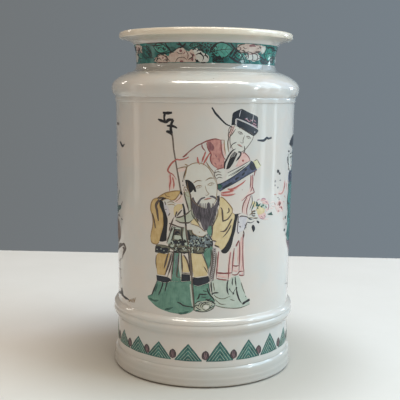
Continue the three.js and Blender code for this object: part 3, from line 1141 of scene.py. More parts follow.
def draw_face(lines, lips, place, width=0.42):
    """Ear, brows, eyes, nose and mouth of a head turned a little to the right."""
    def line(*path, thick=1.0):
        lines.stroke(*place(*path), width=width * thick, ends=(0.4, 0.3))

    line(-0.31,0.66, -0.32,0.5, -0.3,0.3, -0.2,0.12, -0.05,0.02)
    line(0.3,0.64, 0.31,0.5, 0.27,0.3, 0.2,0.12, 0.08,0.02)
    line(-0.32,0.52, -0.39,0.56, -0.42,0.48, -0.38,0.36, -0.31,0.34)
    line(-0.36,0.5, -0.36,0.42)
    for middle in (-0.09, 0.18):
        line(middle - 0.1,0.6, middle,0.64, middle + 0.1,0.61, thick=1.3)
        line(middle - 0.08,0.495, middle,0.53, middle + 0.08,0.5, thick=1.2)
        line(middle - 0.06,0.49, middle,0.475, middle + 0.06,0.49, thick=0.8)
        lines.dot(*place(middle + 0.01, 0.502)[0], width * 1.5)
    line(0.05,0.5, 0.06,0.38, 0.1,0.31, 0.05,0.285, 0.01,0.3)
    lips.stroke(*place(-0.03,0.2, 0.05,0.215, 0.13,0.2), width=width * 2)
    line(-0.04,0.2, 0.05,0.195, 0.14,0.2, thick=0.8)


# %% [markdown]
# ## The official
# This figure bends over the elder in a loose white robe drawn in iron red, under the winged black hat
# of a court, and unrolls a scroll. White cloth is left as bare glaze: only its folds are drawn.

# %% The official's hat
hat = Enamel("official_hat", ink, WASH)
hat.wash([18.6,192.3, 18.9,196, 19.5,200.5, 21.5,202, 25.5,203.7, 27,203.5, 30.5,201.9, 35,200, 38,198.8,
    39.5,197.6, 39.7,194.6, 39.6,189.9, 35.2,191.9, 31.5,193.6, 27,195.3, 22.7,196.8, 21.5,196.5,
    21.3,192.5], [22.3,196.6, 25.5,195.3, 30,193.6, 34,191.8, 37,190.4, 39.7,189, 40.2,187.9, 38.5,186,
    36.5,184.6, 35,184.6, 32,186, 28,188.3, 25,190, 23.2,190.5, 22.5,189.4, 21.4,190.4, 21.8,192.5])
hat.stroke(4.6,204.6, 5.9,202.6, 6.9,200.9, 9.4,198.2, 12.4,195.2, 15,193, 18.8,191.4, width=1.25,
    ends=(0.9, 0.35))
hat.stroke(39.6,181.5, 43,181.2, 45.8,181.3, 48.4,183, 50.2,182.4, 53.4,183, width=1.6, ends=(0.7, 0.9))
hat.wash([21.6,190.6, 23.6,190.4, 23.2,189, 21.8,188.8])
hat.piece()
hat_sheen = Enamel("official_hat_lights", lilac, LINE)
hat_sheen.strokes(0.45, [25.6,203.2, 24.8,200.6, 24.4,198], [35.4,199.6, 35.2,197, 34.6,194.2],
    [22.6,196.4, 22.4,193.4, 22.6,191.2])
hat_sheen.stroke(22.3,197, 27,195.5, 31,193.9, 34.5,192.2, 39.3,190, width=0.6)
hat_sheen.dot(30.2, 197, 0.9).dot(37, 187.4, 0.8)
hat_sheen.piece()
lined("official_hat_ornament", mauve, TOP, 0.7, [28.6,196.8, 30.4,196.4, 31.6,195.2, 33.4,195],
    [33,196, 35,195.4], [35.4,193.8, 38.4,192.6], [36,196, 37.6,194.6], [34.6,192.8, 37,191.6, 39,191])
washed("official_strap_wash", rose_wash, WASH, [18.7,192, 17.6,188.4, 16.6,185, 17.2,183, 18.6,184.8,
    21.6,189.4, 21,191.2])

# %% [markdown]
# A face on porcelain is nearly bare glaze with a faint flesh wash, and fine lines carry it. The beard
# is a row of thin strokes between two guide strokes, which reads as hair better than a flat wash.

# %% The official's head, bent to the right
official_place = head_places((21.8, 173.4), (33.4, 198))
skin = Enamel("official_skin", flesh, WASH)
skin.wash(official_place(-0.3,0.64, -0.32,0.5, -0.29,0.28, -0.18,0.1, 0.02,0, 0.2,0.12, 0.28,0.32,
    0.31,0.5, 0.3,0.6))
skin.wash([7.8,160.6, 10.5,161.6, 13.4,161.4, 14.6,158.6, 14,155.4, 11,153.6, 8.4,154.4, 7.2,157.4])
skin.piece()
face_lines = Enamel("official_face_lines", brown, LINE)
lips = Enamel("lips", red_wash, OVER)
draw_face(face_lines, lips, official_place)
face_lines.strokes(0.5, [7.4,158.6, 9.4,159.6, 12,159], [8,156.6, 10,157.6, 12.6,157],
    [8.6,154.6, 10.6,155.6, 13,155], [7.8,160.6, 7,157.4, 8.4,154.2])
face_lines.strokes(0.55, [18.8,191.4, 17.8,188, 16.5,185.5, 17,183.5, 16.3,180.5, 16.6,176, 17.4,173],
    [21.8,189.6, 20,187, 18.3,184.8, 17,183.6])
face_lines.piece()
beard = Enamel("official_beard", black, TOP)
beard.wash([15.4,161.2, 16.4,165, 17.8,168, 19.8,169.8, 22,170.2, 21.4,167.4, 19.8,164.4, 17.6,161.8])
beard.hairs([21.6,173.6, 19,170.6, 16,163], [23.6,172.4, 22,168.6, 17.8,162], 6, 0.45)
beard.strokes(1.1, [14.2,161.6, 14.4,165.4, 15.7,168, 17.5,171.5, 20,174.5, 22.3,175.7],
    [24.2,173.6, 26,173.2, 26.2,171.5, 24.5,169, 22.5,166.8])
beard.strokes(0.6, official_place(-0.08,0.25, -0.16,0.14, -0.17,0.02),
    official_place(0.16,0.25, 0.23,0.15, 0.22,0.05))
beard.piece()

# %% [markdown]
# The robe is bare glaze with thin iron red at the collar and pink along its folds. The shading isn't
# blended: broad strokes of two pinks, side by side, give the same soft bands as the painter's brush.

# %% The robe: red and pink washes
washed("official_red_collar", red_wash, WASH, [1.5,181, 4,182, 7.5,182.8, 11.3,182, 11.6,176, 12.5,172,
    14,168.3, 14,162, 10,161.5, 7.5,162.8, 5,165.5, 4,169, 4.5,172, 2.5,175.5, 1.2,179],
    [26.6,166.4, 28,167.6, 27.4,169])
collar_shade = Enamel("official_collar_shade", plum, OVER)
collar_shade.wash([1.8,180.4, 3.6,181, 5.6,179, 6.8,176.6, 5.8,174.4, 3.6,174.6, 2.2,177])
collar_shade.strokes(0.8, [7,166, 8.4,164.4], [10,169, 10.6,166.6], [7.6,171.6, 8.6,169.6],
    [12.4,164.6, 11.4,163])
collar_shade.piece()
washed("official_chest_wash", rose_wash, WASH, [24,166, 26,172, 28.5,173, 31.5,171, 33.8,167, 32,165.5,
    27,163.5, 22,163], [14.2,180.4, 15.6,179.4, 14.4,175, 15.2,171, 14,170.6, 12.8,174, 12.2,178.4])
washed("official_collar_strip", paper, OVER, [13.8,181.6, 15.8,179.6, 16.2,176, 17.2,173, 15.6,170.6,
    14.8,172.6, 14.2,176])
pinks = Enamel("official_pink_folds", pink_wash, WASH)
pinks.wash([-19.5,160.6, -14,162, -12,161.6, -14.5,159.6, -19,158.8],
    [36,157, 36.4,150, 34.8,144.5, 37.4,144, 33,141.6, 28,138, 27,139, 31,142, 33.6,146, 34.8,151],
    [32,140.5, 34.8,141, 33.4,136, 32.4,131, 32.2,127.8, 28.4,129.6, 29.2,135],
    [16.8,147, 22,147.6, 28,150.8, 30.5,152.8, 27,149.4, 22,146], [12,144.4, 20.5,145.4, 22,143.9,
    14,142.9], [22.2,100, 23.4,96, 23,91.6, 22,86, 21.6,92], [27,107, 29.2,112, 29.4,100, 31,86.8,
    27.4,86.6, 27,96])
pinks.strokes(1.5, [11.3,101, 10.9,94, 10.4,86], [19.2,101, 18.6,92, 18,84],
    [10.4,85, 14,84.4, 20.6,84.4], [25.8,106, 26,98, 26,92], [22,89.8, 24.4,89.2, 26.6,89.8],
    [30,110, 30.2,98, 31.4,86])
deep_pinks = Enamel("official_rose_folds", rose_wash, OVER)
deep_pinks.strokes(1.7, [19.9,101.6, 19.9,94, 19.8,86, 19.6,82.4], [28.6,112, 28.6,100, 29,92, 29.2,86],
    ends=(0.7, 0.7))
deep_pinks.strokes(1.1, [10.9,101, 10.7,92, 10.4,85], [22.7,103, 22.6,96, 22.4,88],
    [26.2,104, 26.1,98, 26,91.6], [35.6,156, 35.6,150, 35.2,146], [36.4,146.6, 36,144.6],
    [34,141.6, 32,138, 30.4,134, 30,129.6], [12.4,144, 17,144.2, 21,144.6],
    [18.4,146.4, 22,146.6, 26,148.8])
deep_pinks.strokes(1.6, [10.6,84, 14,83.4, 18,82.6], [22.4,87.6, 24.6,87, 26.4,88],
    [28.6,84.6, 30.6,84.8], [-25.4,156, -24.9,151, -24.8,146], ends=(0.7, 0.7))
deep_pinks.piece()
pinks.piece()

# %% [markdown]
# Folds are drawn with a pointed brush, bold where the cloth turns over and fine elsewhere. Two line
# enamels, an iron red and a maroon, keep that difference.

# %% The robe: the bold red lines
robe = Enamel("official_robe_lines", iron, LINE)
robe.strokes(1.0, [-11,169.8, -13.8,168.4, -17.6,167.5, -19.8,167.8, -21.3,166.8, -23.2,165.3,
    -25.1,162.9, -26.3,160.8, -26.6,159.5, -25.1,157.9, -22.9,157, -21,154.8, -20.1,153.3],
    [-24.8,157, -24.6,154.5, -24.4,151.7, -25.1,148.6, -25.2,144.8], [-22.9,154.8, -21.9,150.8,
    -22.1,146.7], [0.8,173.6, -0.8,169.5, -2,165.8], [4.2,173.4, 2.4,170.6, 0.4,167, -1.2,164],
    [-5,169.8, -4.6,167, -3.4,164.5])
robe.strokes(1.1, [16.8,147.2, 19.5,146.9, 22,147.7, 25,149.3, 28,151, 30.5,153],
    [17,147.2, 19.6,146.2, 21.6,145.6], [12,144.3, 16,144.8, 21,145.5],
    [12,143, 16,142.6, 20,142.9, 22.8,143.6])
robe.dot(28, 167.2, 1.7)
robe.piece()

# %% The robe: the finer maroon lines
fine = Enamel("official_robe_fine_lines", maroon, LINE)
fine.strokes(0.7, [-12,172, -15.2,169.2], [-15.5,169.6, -13,171.6, -10,174.2, -7.5,176.2, -5,178,
    -2.2,179.3, 1,181, 4,182, 7.5,182.8, 11,182, 14,181.8], [-2,179, -1.5,176.5, 0.8,173.8],
    [1.2,179.6, 2.4,175.6, 4.5,172, 4,169, 5,165.5, 7.5,162.8], [8.5,161, 11,161.8, 13.5,162.5],
    [28.7,173, 31,171.3, 32.7,169.5, 33.8,167])
fine.strokes(0.75, [11.4,182, 11.6,178, 12.2,173.5, 13.4,170, 15.2,167.6],
    [36.3,157, 36.6,153, 36.4,149.5, 36.2,147.5, 34.7,144.5], [36.4,148, 37.4,146, 38.2,144, 37,143.4,
    35,142.7, 33,142, 30.5,140.3, 27.8,138], [32,140.5, 30.3,138, 29,135, 28.5,132, 28.4,129.5],
    [35,141.6, 33.8,138, 32.6,134.5, 32,131, 32.6,127.5], [38.6,160, 38,158, 37.5,155.8],
    [34.8,156.6, 34.8,151, 34.4,147])
fine.strokes(0.8, [11,102, 10.6,97, 10.1,90, 9.8,85, 9.8,82.3], [20,101, 19.6,98, 19,92, 18.7,81],
    [22.8,104, 22.2,98, 21.8,92, 21.4,85], [26.4,109.5, 27,105, 27.2,98, 27,90, 27,86],
    [29.6,114, 29.6,108, 29.7,100, 30,94, 30.3,90, 31,86.5, 31.2,83.5], [21.7,91.3, 24.5,90.6, 27,91],
    [21.5,84.5, 24,84, 26,84.6, 27.4,86.2, 31,86.4], [27,84, 29,83.2, 31.4,83.4],
    [9.8,82.2, 12,81.5, 16,80.8, 18.6,80.6])
fine.strokes(1.1, [9.7,86.4, 13,85.9, 18,85.6, 21.6,86], [26.2,109.4, 25,107, 24,105])
fine.piece()
lined("official_robe_pale_lines", umber, LINE, 0.6, [-19.4,161.2, -17.3,161.8, -14.1,162.6, -12.4,162.3,
    -13,159, -13.8,155], [-14,164.5, -11.6,163.7], [1.2,166.5, 3,163.5, 5.5,160.5, 7,158.5],
    [-20.6,137.4, -17.4,140.2, -16,143], [16.2,180.6, 16.6,176.6, 17,173.6],
    [13.6,181.8, 14,177, 14.8,172])

# %% [markdown]
# The scroll is seen from its side: a dark blue cover, cream paper and a yellow end. Flat washes and
# a black outline are enough, and the outline hides where two washes meet.

# %% The scroll
washed("scroll_cover", navy, OVER, [9.2,150.6, 12.6,151.4, 18,154.2, 23,157.4, 28,160.8, 32.4,164,
    34.6,166.8, 36.8,165.6, 40,160.2, 34,157.6, 28,154.6, 22,151.4, 16,148.4, 11.4,145.6, 9,147.6])
washed("scroll_paper", paper, OVER, [16,153.4, 18,154.4, 23,157.5, 28,160.9, 32.4,164.1, 34.6,166.9,
    32.6,166.4, 25,161.8, 17,158.2, 15.4,156])
scroll_shade = Enamel("scroll_shade", ink, TOP)
scroll_shade.wash([33.4,163.6, 35,165.8, 36.8,164.8, 39,160.8, 36,159.8, 33.8,161.6])
scroll_shade.strokes(1.5, [13,147.6, 17,150, 20,151.8], [22.4,153.6, 25,155.4], [27.6,156.6, 29.6,158.6],
    [29.4,160, 31.6,161.4], ends=(0.7, 0.5))
scroll_shade.piece()
washed("scroll_roll_end", deep_green, TOP, [9.2,150.2, 11.6,150.6, 13,149.4, 11.6,147.2, 10,147.2])
washed("scroll_end", lemon, OVER, [37.5,166.8, 39.5,167.5, 40.5,167, 43.8,163, 41,161.3, 39.4,161.4,
    37.4,164.8, 36.2,166.4])
lined("scroll_lines", black, LINE, 0.45, [16.5,158.6, 25,162.6, 33,166.6, 34.8,166.8],
    [17,156.4, 24,160.2, 32.6,165], [33.3,164.8, 35.2,166.6, 37.2,164.5, 39.5,160.6],
    [40.3,166.8, 42,164.5, 43.3,163], [37.5,166.8, 39.5,167.5, 40.5,167],
    [9.2,150.6, 12.6,151.5, 18,154.3, 23,157.5, 28,160.9, 32.4,164.1, 34.6,166.8],
    [40,160.1, 34,157.5, 28,154.5, 22,151.3, 16,148.3, 11.4,145.5, 9,147.6],
    [19,156.6, 24,159.4, 30,163.2], [36,142, 36.5,139, 36.5,136.5, 35.3,133.5, 34.5,131.5],
    [-12.2,163.6, -13.6,159.6, -14.6,156, -15.4,152.4])

# %% [markdown]
# Below the robe hangs a pale green gown with two knotted cords. A knot is one short fat stroke, as a
# loaded brush leaves it.

# %% The under-gown and its sash cords
washed("official_gown", celadon, WASH, [6,80, 9.7,81.4, 18.5,79.9, 21.5,82.6, 26.6,83.4, 28.2,80, 29.2,76,
    31,72, 33,68, 35.5,64.3, 37,61, 30,59.4, 20,59.2, 12,60.6, 9,63, 6.5,70.5, 5,78])
gown_lines = Enamel("official_gown_lines", black, LINE)
gown_lines.strokes(1.1, [18.6,80.5, 18,78, 17.9,75, 18.3,72, 19.2,69.5],
    [25.2,74.2, 25.7,71, 26.6,68, 28,64.8, 29.8,62.2])
gown_lines.strokes(0.8, [22.2,81.6, 21.8,79, 22,76.4], [24,82.5, 24.4,79, 25,75.4])
gown_lines.strokes(0.42, [19.9,73.6, 21.2,71.8, 22.6,70.6], [22.9,70.8, 23.8,72.6, 25,74])
gown_lines.stroke(30.4,61.6, 33,63, 36.6,64.4, width=1.7, ends=(0.5, 0.8))
gown_lines.strokes(0.9, [5.9,80, 6.1,76, 6.8,71], [6.8,70.8, 9,71.4, 11.8,71.4])
for across, height, size in ((25.2, 74.3, 2.1), (22.8, 70.3, 2.1), (19.9, 73.6, 1.7), (33, 67.2, 1.1),
        (31.2, 71.5, 0.9), (6.9, 70.6, 1.8)):
    gown_lines.stroke((across - size * 0.28, height), (across + size * 0.28, height), width=size * 0.8,
        ends=(0.7, 0.7))
gown_lines.piece()
lined("official_gown_folds", moss, LINE, 0.6, [8,70, 10,68.2, 13,67, 16,66.9, 20.5,68.5],
    [8.6,67, 11,64.6, 13.6,62.8, 17.5,62.6], [9.4,62, 14,60.6, 20,59.5, 28,59, 36.6,60.8],
    [29,78, 30.4,73.6, 32.6,69], [7.4,79, 8.2,75, 8.4,72.6], [20.6,66, 24,64.8])

# %% [markdown]
# ## The elder
# The elder sits in front, with a high forehead, a full dark beard and a tall staff. The yellow coat
# has broad black borders; under it come skirt panels, a sash and a green underskirt.

# %% The elder's staff
staff = Enamel("staff_head", black, TOP)
staff.stroke(-30.6,200.4, -27,200.2, -23.4,200.6, width=1.8, ends=(0.6, 0.8))
staff.stroke(-28.9,200, -29.5,197, -29,194.6, width=1.5, ends=(0.9, 0.9))
staff.stroke(-34.5,195.7, -30.6,194.4, -28,193.9, -26,195.4, -22.4,195.8, width=1.9, ends=(0.4, 0.7))
staff.stroke(-22.6,195.6, -24,192.4, -24.3,188.6, -23.8,186, width=1.9, ends=(0.8, 0.9))
staff.stroke(-27.4,191.2, -24,191.3, -21.8,190.9, -19.6,189.8, width=1.7, ends=(0.5, 0.4))
staff.stroke(-28,187.2, -26.3,187.1, -24.4,186.3, -23.2,184.6, width=1.9, ends=(0.6, 0.6))
staff.stroke(-16.8,145, -16,142.6, width=1.5, ends=(0.9, 0.9))
staff.stroke(-15.3,136.2, -14.3,133, -13.5,126, -12.8,120.4, width=1.3, ends=(0.9, 0.9))
staff.piece()
shaft = Enamel("staff_shaft", wood, TOP)
shaft.stroke(-23.4,186, -22.7,181, -22.1,175, -21,168.5, -19.6,160.6, -18.3,153.9, -17.4,148.9,
    -16.6,144.6, width=1.05, ends=(0.9, 0.9))
shaft.stroke(-12.9,120.6, -12.3,115, -11.4,110, -10.4,104, width=1.4, ends=(0.9, 0.9))
shaft.stroke(-10.2,104.5, -9.6,97, -8.9,90, -8.4,84, width=1.7, ends=(0.9, 0.9))
shaft.stroke(-8.3,84, -7.8,76, -7.3,70, -6.6,64, -6.3,58, width=1.2, ends=(0.9, 0.6))
shaft.piece()
lined("staff_edges", black, LINE, 0.42, [-11.2,104, -10.6,97, -9.9,90, -9.2,84.4],
    [-9.2,103, -8.6,96, -7.9,89, -7.5,84], [-7.7,83, -7.1,75, -6.5,68, -5.9,60])
Enamel("staff_pale_side", celadon, OVER).stroke(-9.2,77.6, -8.7,72, -8,66, -7.4,61, width=1.2,
    ends=(0.7, 0.6)).piece()

# %% [markdown]
# The high domed forehead is one tall outline. Head and hands share one flesh wash. The beard is a dark
# grey wash, with black hairs over it that follow its fall: a flat black would look like a bib.

# %% The elder's head, with its high forehead
elder_place = head_places((2.6, 133.2), (-4.6, 165.4))
washed("elder_skin", flesh, WASH, [-14.3,153, -13.2,159.5, -12.3,162.4, -9,164.8, -5,165.6, -1,165,
    2.5,162.5, 5,159, 6.6,155.5, 8.6,151.5, 9.6,146, 10,140, 6,134.6, 1,133.4, -5,135.6, -8.6,141,
    -10.5,146], [-31.5,137.4, -27.4,139.2, -24,138.6, -20.4,137.4, -19.6,134.6, -23,133.2, -27.4,133.4],
    [32.2,126, 34.8,127.6, 38,130.2, 40.8,131, 41.6,128, 42.4,125.4, 38,124.8, 34,122.6],
    [-9.7,122, -6,121, -3,119.8, 0.5,116.8, 2.3,116.8, 2,115, -0.5,113, -4,113.3, -7.5,115, -8.5,118])
washed("elder_sleeve_lining", pink_wash, WASH, [-29,137.6, -25,138, -21.4,138.4, -18.4,140.8, -16.6,143.6,
    -15.2,141, -15.2,137.2, -20,136.6, -26,136.4], [-24,156.4, -21.6,155, -21.4,147, -24,146.4])
elder_lines = Enamel("elder_face_lines", umber, LINE)
draw_face(elder_lines, lips, elder_place, 0.4)
elder_lines.strokes(0.42, [-14.3,153, -13.9,157, -12.6,162, -9,164.8, -5,165.7, -1,165, 2.5,162.5, 5,159,
    6.8,155.5, 8.4,151.5])
elder_lines.strokes(0.5, [-31.5,137.4, -27.4,139.2, -24,138.6], [-27,136.6, -23.5,137.2, -20.6,136],
    [-26.6,134.8, -23,135.4, -20.4,134.4], [34.2,126, 38,125.2, 42,125.2], [36,130, 38.5,130.6],
    [36.3,128.5, 39,128.8], [37,127, 39,126.8], [34.6,127.4, 38,130.2, 40.8,131],
    [-9.7,122, -6,121, -3,119.8, 0.5,116.8, 2.3,116.8], [-8.5,118, -7.5,115, -4,113.3, -0.5,113, 2,115],
    [-3.4,116.4, -2.6,115.6])
elder_lines.piece()
lips.piece()
hair = Enamel("elder_side_hair", black, TOP)
hair.wash([-13.6,153.4, -11.2,153.4, -8.3,151.4, -6.3,148.4, -5.5,145, -6.8,144.9, -7.6,146.6, -8.6,145.2,
    -9.8,144.3, -11.1,144.9, -12.3,147.6, -13.2,150.8])
for across, height, size in ((-15.4, 152.4, 1.5), (-15.1, 149.4, 1.5), (-13.4, 146.2, 1.4)):
    hair.stroke((across - size * 0.2, height), (across + size * 0.2, height), width=size * 0.8,
        ends=(0.8, 0.8))
for middle in (-0.09, 0.18):
    brow = elder_place(middle - 0.09, 0.605, middle, 0.635, middle + 0.1, 0.61)
    hair.stroke(*brow, width=0.6, ends=(0.5, 0.3))
hair.stroke(9.6,142.2, 10.4,140, 10,136, width=1.5, ends=(0.8, 0.6))
hair.piece()
hair = Enamel("elder_beard", charcoal, TOP)
hair.wash([-8.8,139.8, -8.4,134, -7.8,130.5, -5.5,126.5, -3,126, -1.5,121, 0.5,117, 2.5,117.5, 3.5,121,
    6,120.5, 7,124, 8.5,129, 9.8,134, 11,138, 11.1,142.6, 9.4,142.4, 9,138.6, 6.6,134.6, 2.4,133.2,
    -2.6,134.4, -6,138, -7.6,141.4])
hair.strokes(1.3, elder_place(0,0.25, -0.1,0.23, -0.2,0.12, -0.24,0),
    elder_place(0.1,0.25, 0.18,0.22, 0.25,0.12, 0.26,0), ends=(0.6, 0.3))
hair.stroke(*elder_place(0.05,0.13, 0.04,0.06, 0.06,-0.02), width=1.6, ends=(0.5, 0.8))
hair.hairs([-8.4,137, -7.6,131, -5.4,126.4, -3.2,123.4], [9.8,137, 8.6,130, 5.4,123, 3.2,118], 15, 0.6)
hair.piece()
silver = Enamel("elder_beard_strands", black, LINE)
silver.hairs([-7,136, -6,130.5, -4,125.5], [9,136, 7.4,129, 4.2,121], 13, 0.34)
silver.hairs([-8.6,133, -8.6,129, -6.6,125], [-5.6,127, -4.4,123.4, -2.4,120], 4, 0.4)
silver.hairs([9.8,133, 10,129, 8.8,124.6], [7,125, 6.6,121, 5,117.6], 4, 0.4)
silver.piece()

# %% [markdown]
# The coat is clear yellow with broad black borders. Black is laid beside the yellow, not over it,
# because glassy enamels that overlap run together in the kiln.

# %% The coat: yellow on both sleeves
washed("elder_coat_sleeve", ochre, WASH, [-35.5,139.2, -39,137.5, -40.7,134, -41,130, -39.8,126.5,
    -39,122, -39.3,118, -40.5,114, -41.3,110, -40.8,107, -39,105.6, -36.5,105.1, -35,105.6, -33.6,107.5,
    -32.3,112, -31,116, -30.1,120, -30.3,124, -30.5,128, -31.9,131, -33.2,134, -33.4,137.2],
    [-35.1,139.2, -31.9,141.4, -28.5,143.3, -24.1,144.5, -20.1,145.3, -17.3,145.4, -17.3,143.9,
    -19.4,140.8, -21.3,138.9, -24.1,137.8, -26.6,138.6, -29.8,140, -33,138])
washed("elder_coat_lining", straw, WASH, [-22,129.6, -21.6,133.8, -19,135.6, -15.7,135.7, -15.5,133.2,
    -17.6,131.2, -19.4,128.8, -21,126.8], [-9.5,124.5, -6,126, -4,124.5, -3.2,120.5, -9,122.3])
washed("elder_coat_breast", straw, WASH, [12,141.5, 14,140.5, 17.5,137, 20.5,133, 20.8,130, 22.4,128.8,
    22.5,126.5, 21.7,122.5, 21,119, 20.2,115, 18.8,111, 17,107.5, 14.8,104.2, 12.8,103, 10.5,105.5, 8,107,
    9,109.3, 7,110, 5.8,113, 6.3,118, 7.2,122, 8.8,127, 10,131, 11.2,136, 11,141])
washed("elder_coat_borders", black, WASH, [-33.6,137.5, -33.2,134, -31.9,131, -30.5,128, -30.3,124,
    -30.1,120, -31,116, -32.3,112, -33.5,107.5, -31,107.4, -27.5,108.5, -27.3,114, -26.9,119, -26.6,124,
    -27.8,128, -29.3,132, -30.3,137.8, -26.6,140.1, -29.8,139.7], [28,129.3, 25.5,128.3, 24.8,126, 24,122,
    23.3,117, 22,112, 21.2,108, 19.8,104, 17.5,101, 15.5,100.3, 13.5,101, 12.7,102.5, 15,104.5, 17,107.5,
    18.8,111, 20.2,115, 21,119, 21.7,122.5, 22.5,126.5, 22,128.8])
folds = Enamel("elder_coat_folds", brown, LINE)
folds.stroke(-33.4,138, -36.2,134, -35.4,130, -34.8,126, -34.2,122.4, width=1.9, ends=(0.8, 0.3))
folds.stroke(-39.6,127.6, -37.8,122, -36.8,117, width=1.1, ends=(0.4, 0.8))
folds.strokes(1.1, [12,134, 13,132.5, 13.4,129, 13.8,124, 17,125.2, 19,127.5, 20.5,130],
    [20.5,125.5, 19,122.5, 17,119, 15,116.8, 11.8,116.6], [8,106.6, 11.6,105],
    [-35.4,139, -32.4,139.4, -29.6,140])
folds.strokes(0.85, [17.8,133.5, 18.2,131, 16.5,129.5], [20,121, 18.5,118, 16.5,115, 13.8,112],
    [6,110, 9.5,109.4], [6,122, 6.3,117, 5.8,113.5, 5.2,112])
folds.piece()
lined("elder_coat_outline", umber, LINE, 0.65, [-41,108, -40,105.8, -37,105, -35,105.5, -33.4,107],
    [-35.5,139.2, -39,137.5, -40.7,134, -41,130, -39.8,126.5, -39,122, -39.3,118, -40.5,114, -41.3,110],
    [-35.1,139.2, -31.9,141.4, -28.5,143.3, -24.1,144.5, -20.1,145.3, -16.6,145.5],
    [-29,142.6, -27.4,141, -24.6,140.6], [-39.3,125, -38.3,122, -37.3,119.4, -36.4,116.5],
    [12,141.5, 14,140.5, 17.5,137, 20.5,133, 20.8,130, 22.5,129], [-17.4,143.8, -19.4,140.8, -21.3,138.9,
    -25,137.9])

# %% [markdown]
# Cuffs, scarf and sash are small areas of clear colour between dark trims. They lie a layer higher,
# so that their edges stay crisp where they cross the coat.

# %% Cuffs, scarf and sash over the chest
washed("elder_cuffs", lilac, OVER, [-30,137, -27.4,134.4, -25.5,131, -25.8,128.4, -26.5,126, -27.6,128.2,
    -29.2,132], [25,127.5, 29,127, 32.5,126, 31.5,121, 30,117, 27,115.5, 25.2,114, 24.2,117, 24.6,122])
washed("sash_grey_end", ash, OVER, [6.8,105, 9.2,104.4, 9.4,98, 8.8,90, 7.8,80.4, 4.8,80.4, 4.4,86,
    5.6,92, 6.4,98])
washed("elder_scarf", sage, OVER, [-14.6,144.8, -13,139, -11.5,134, -10.8,130.5, -8.8,131.5, -9.5,141,
    -10.6,145], [-20,126, -17,126.5, -13,128.5, -9,132, -7.2,129.4, -6.5,126.5, -8,124.8, -10.5,122.8,
    -13,122.5, -17,122.6, -20.5,124])
trim = Enamel("elder_dark_trim", brown, LINE)
trim.strokes(0.95, [-14.5,144.5, -13,139, -11.5,134, -10.8,130.5], [-10.5,145, -9.5,141, -8.8,131.5],
    [-19.5,130.5, -20.5,127.5, -21,125.8], [-15.8,131.8, -18,129, -19.8,126.8],
    [-25.5,116, -24.5,119.5, -23.5,122, -22,126], [-25.5,121.3, -22,120.5, -18,119.3, -14,119],
    [-27,108, -25.5,112, -24,115.5, -21.5,119.5], [-20.5,124, -17,122.6, -13,122.5, -10.5,122.8,
    -8,124.8], [-20,126, -17,126.5, -13,128.5, -9,132])
trim.strokes(0.7, [-29,137, -28,134.5], [-28.6,131.5, -27.4,131.3], [-26,127, -24.8,129],
    [26,126.3, 28,127.2, 32.5,126.3, 34.5,124.5], [32.5,122, 31.5,119.5, 30.5,117],
    [25.4,127.6, 25.2,122, 25,116.4, 26,114.4], [26.4,120, 27.6,119], [29.8,116.4, 30.4,114, 30,111],
    [-21.5,113.6, -21,116, -19,117.2, -17.3,116, -16.6,113.6])
trim.dots(1.0, 26,122.8, 25.8,115, 30,114.8, 34.8,124.7)
trim.piece()

# %% [markdown]
# The belt is brocade: a dark ground with pale scrolls and dots, too fine to copy stitch by stitch. It
# is drawn as the painter did it, with loops and touches that fill the space.

# %% The brocade belt
BELT = [-26.4,104, -25.6,108, -23.8,113, -21.8,119, -14,119, -12.6,117, -10.4,117.6, -8.6,117.4,
    -7.5,114.6, -4,112.8, -0.5,112.6, 2.2,114.6, 3.6,116, 5.2,112, 6.4,109, 6.6,105.6, 2.6,104, -1,101,
    -9,100.6, -16,100, -21.8,101.6]
TAB = [-37.4,99, -36.8,103.6, -34,105.2, -28,105, -24.6,104, -25,100, -30,98.4, -34,98.6]
belt = Enamel("belt_ground", moss, WASH).wash(BELT, TAB)
belt.piece()
washed("belt_slate", slate, OVER, [-9.6,112.8, -7.4,114.2, -4,112.5, -0.5,112.3, 2.2,114.3, 3.6,115.6,
    5,112, 6.2,109, 6.2,106.2, 2,105, -4,105.4, -9,105.4, -10.4,109])
washed("belt_pale_panels", celadon, OVER, [-22.6,119.8, -21.2,119, -22.8,113, -24.6,107.2, -27,106.2,
    -25.4,112], [-21.4,113, -20.2,113.2, -16.8,113, -15.8,110.6, -17.6,109.8, -21.6,110],
    [-20.6,119, -17,118.9, -16.4,117.4, -20.8,117.4], [-14.4,118.8, -13.4,118.6, -12.6,112, -11.2,106.2,
    -13.4,106, -15,112])
washed("belt_dark_patches", ink, OVER, [-37.2,99.2, -36.6,103.4, -33.6,104, -31,103, -28,103.6,
    -25.4,102.6, -27,100, -31,98.8, -34,99.4], [-21.2,113.2, -21,115.2, -19.4,116.4, -17.6,115.8,
    -16.8,113.6, -18.2,114.4, -19.6,114.2], [-24.4,109.4, -20,109.2, -15,109.6, -13.6,107.4, -14.4,105.2,
    -19,106.8, -22,105.8, -24.6,107], [-11.8,117, -10.4,116.2, -9,111, -9.4,105.4, -11,105.4, -11.2,111])
belt_dark = Enamel("belt_pattern", black, TOP)
belt_light = Enamel("belt_lights", celadon, LINE)
stitch = random.Random(21)
for i in range(150):
    across, height = (stitch.uniform(-27, 6), stitch.uniform(101, 114))
    bare = -23.6 < across < -12.4 and height > 109.6
    if bare or not inside_edge(pairs((across, height)), pairs(BELT))[0]:
        continue
    turn, size = (stitch.uniform(0, FULL_TURN), stitch.uniform(0.5, 1.3))
    curl = curled(across, height, size, turn, 3)
    if i % 7 < 5:
        belt_dark.stroke(*curl, width=stitch.uniform(0.5, 1.2), ends=(0.8, 0.5))
    else:
        belt_light.stroke(*curl, width=stitch.uniform(0.35, 0.7), ends=(0.8, 0.5))
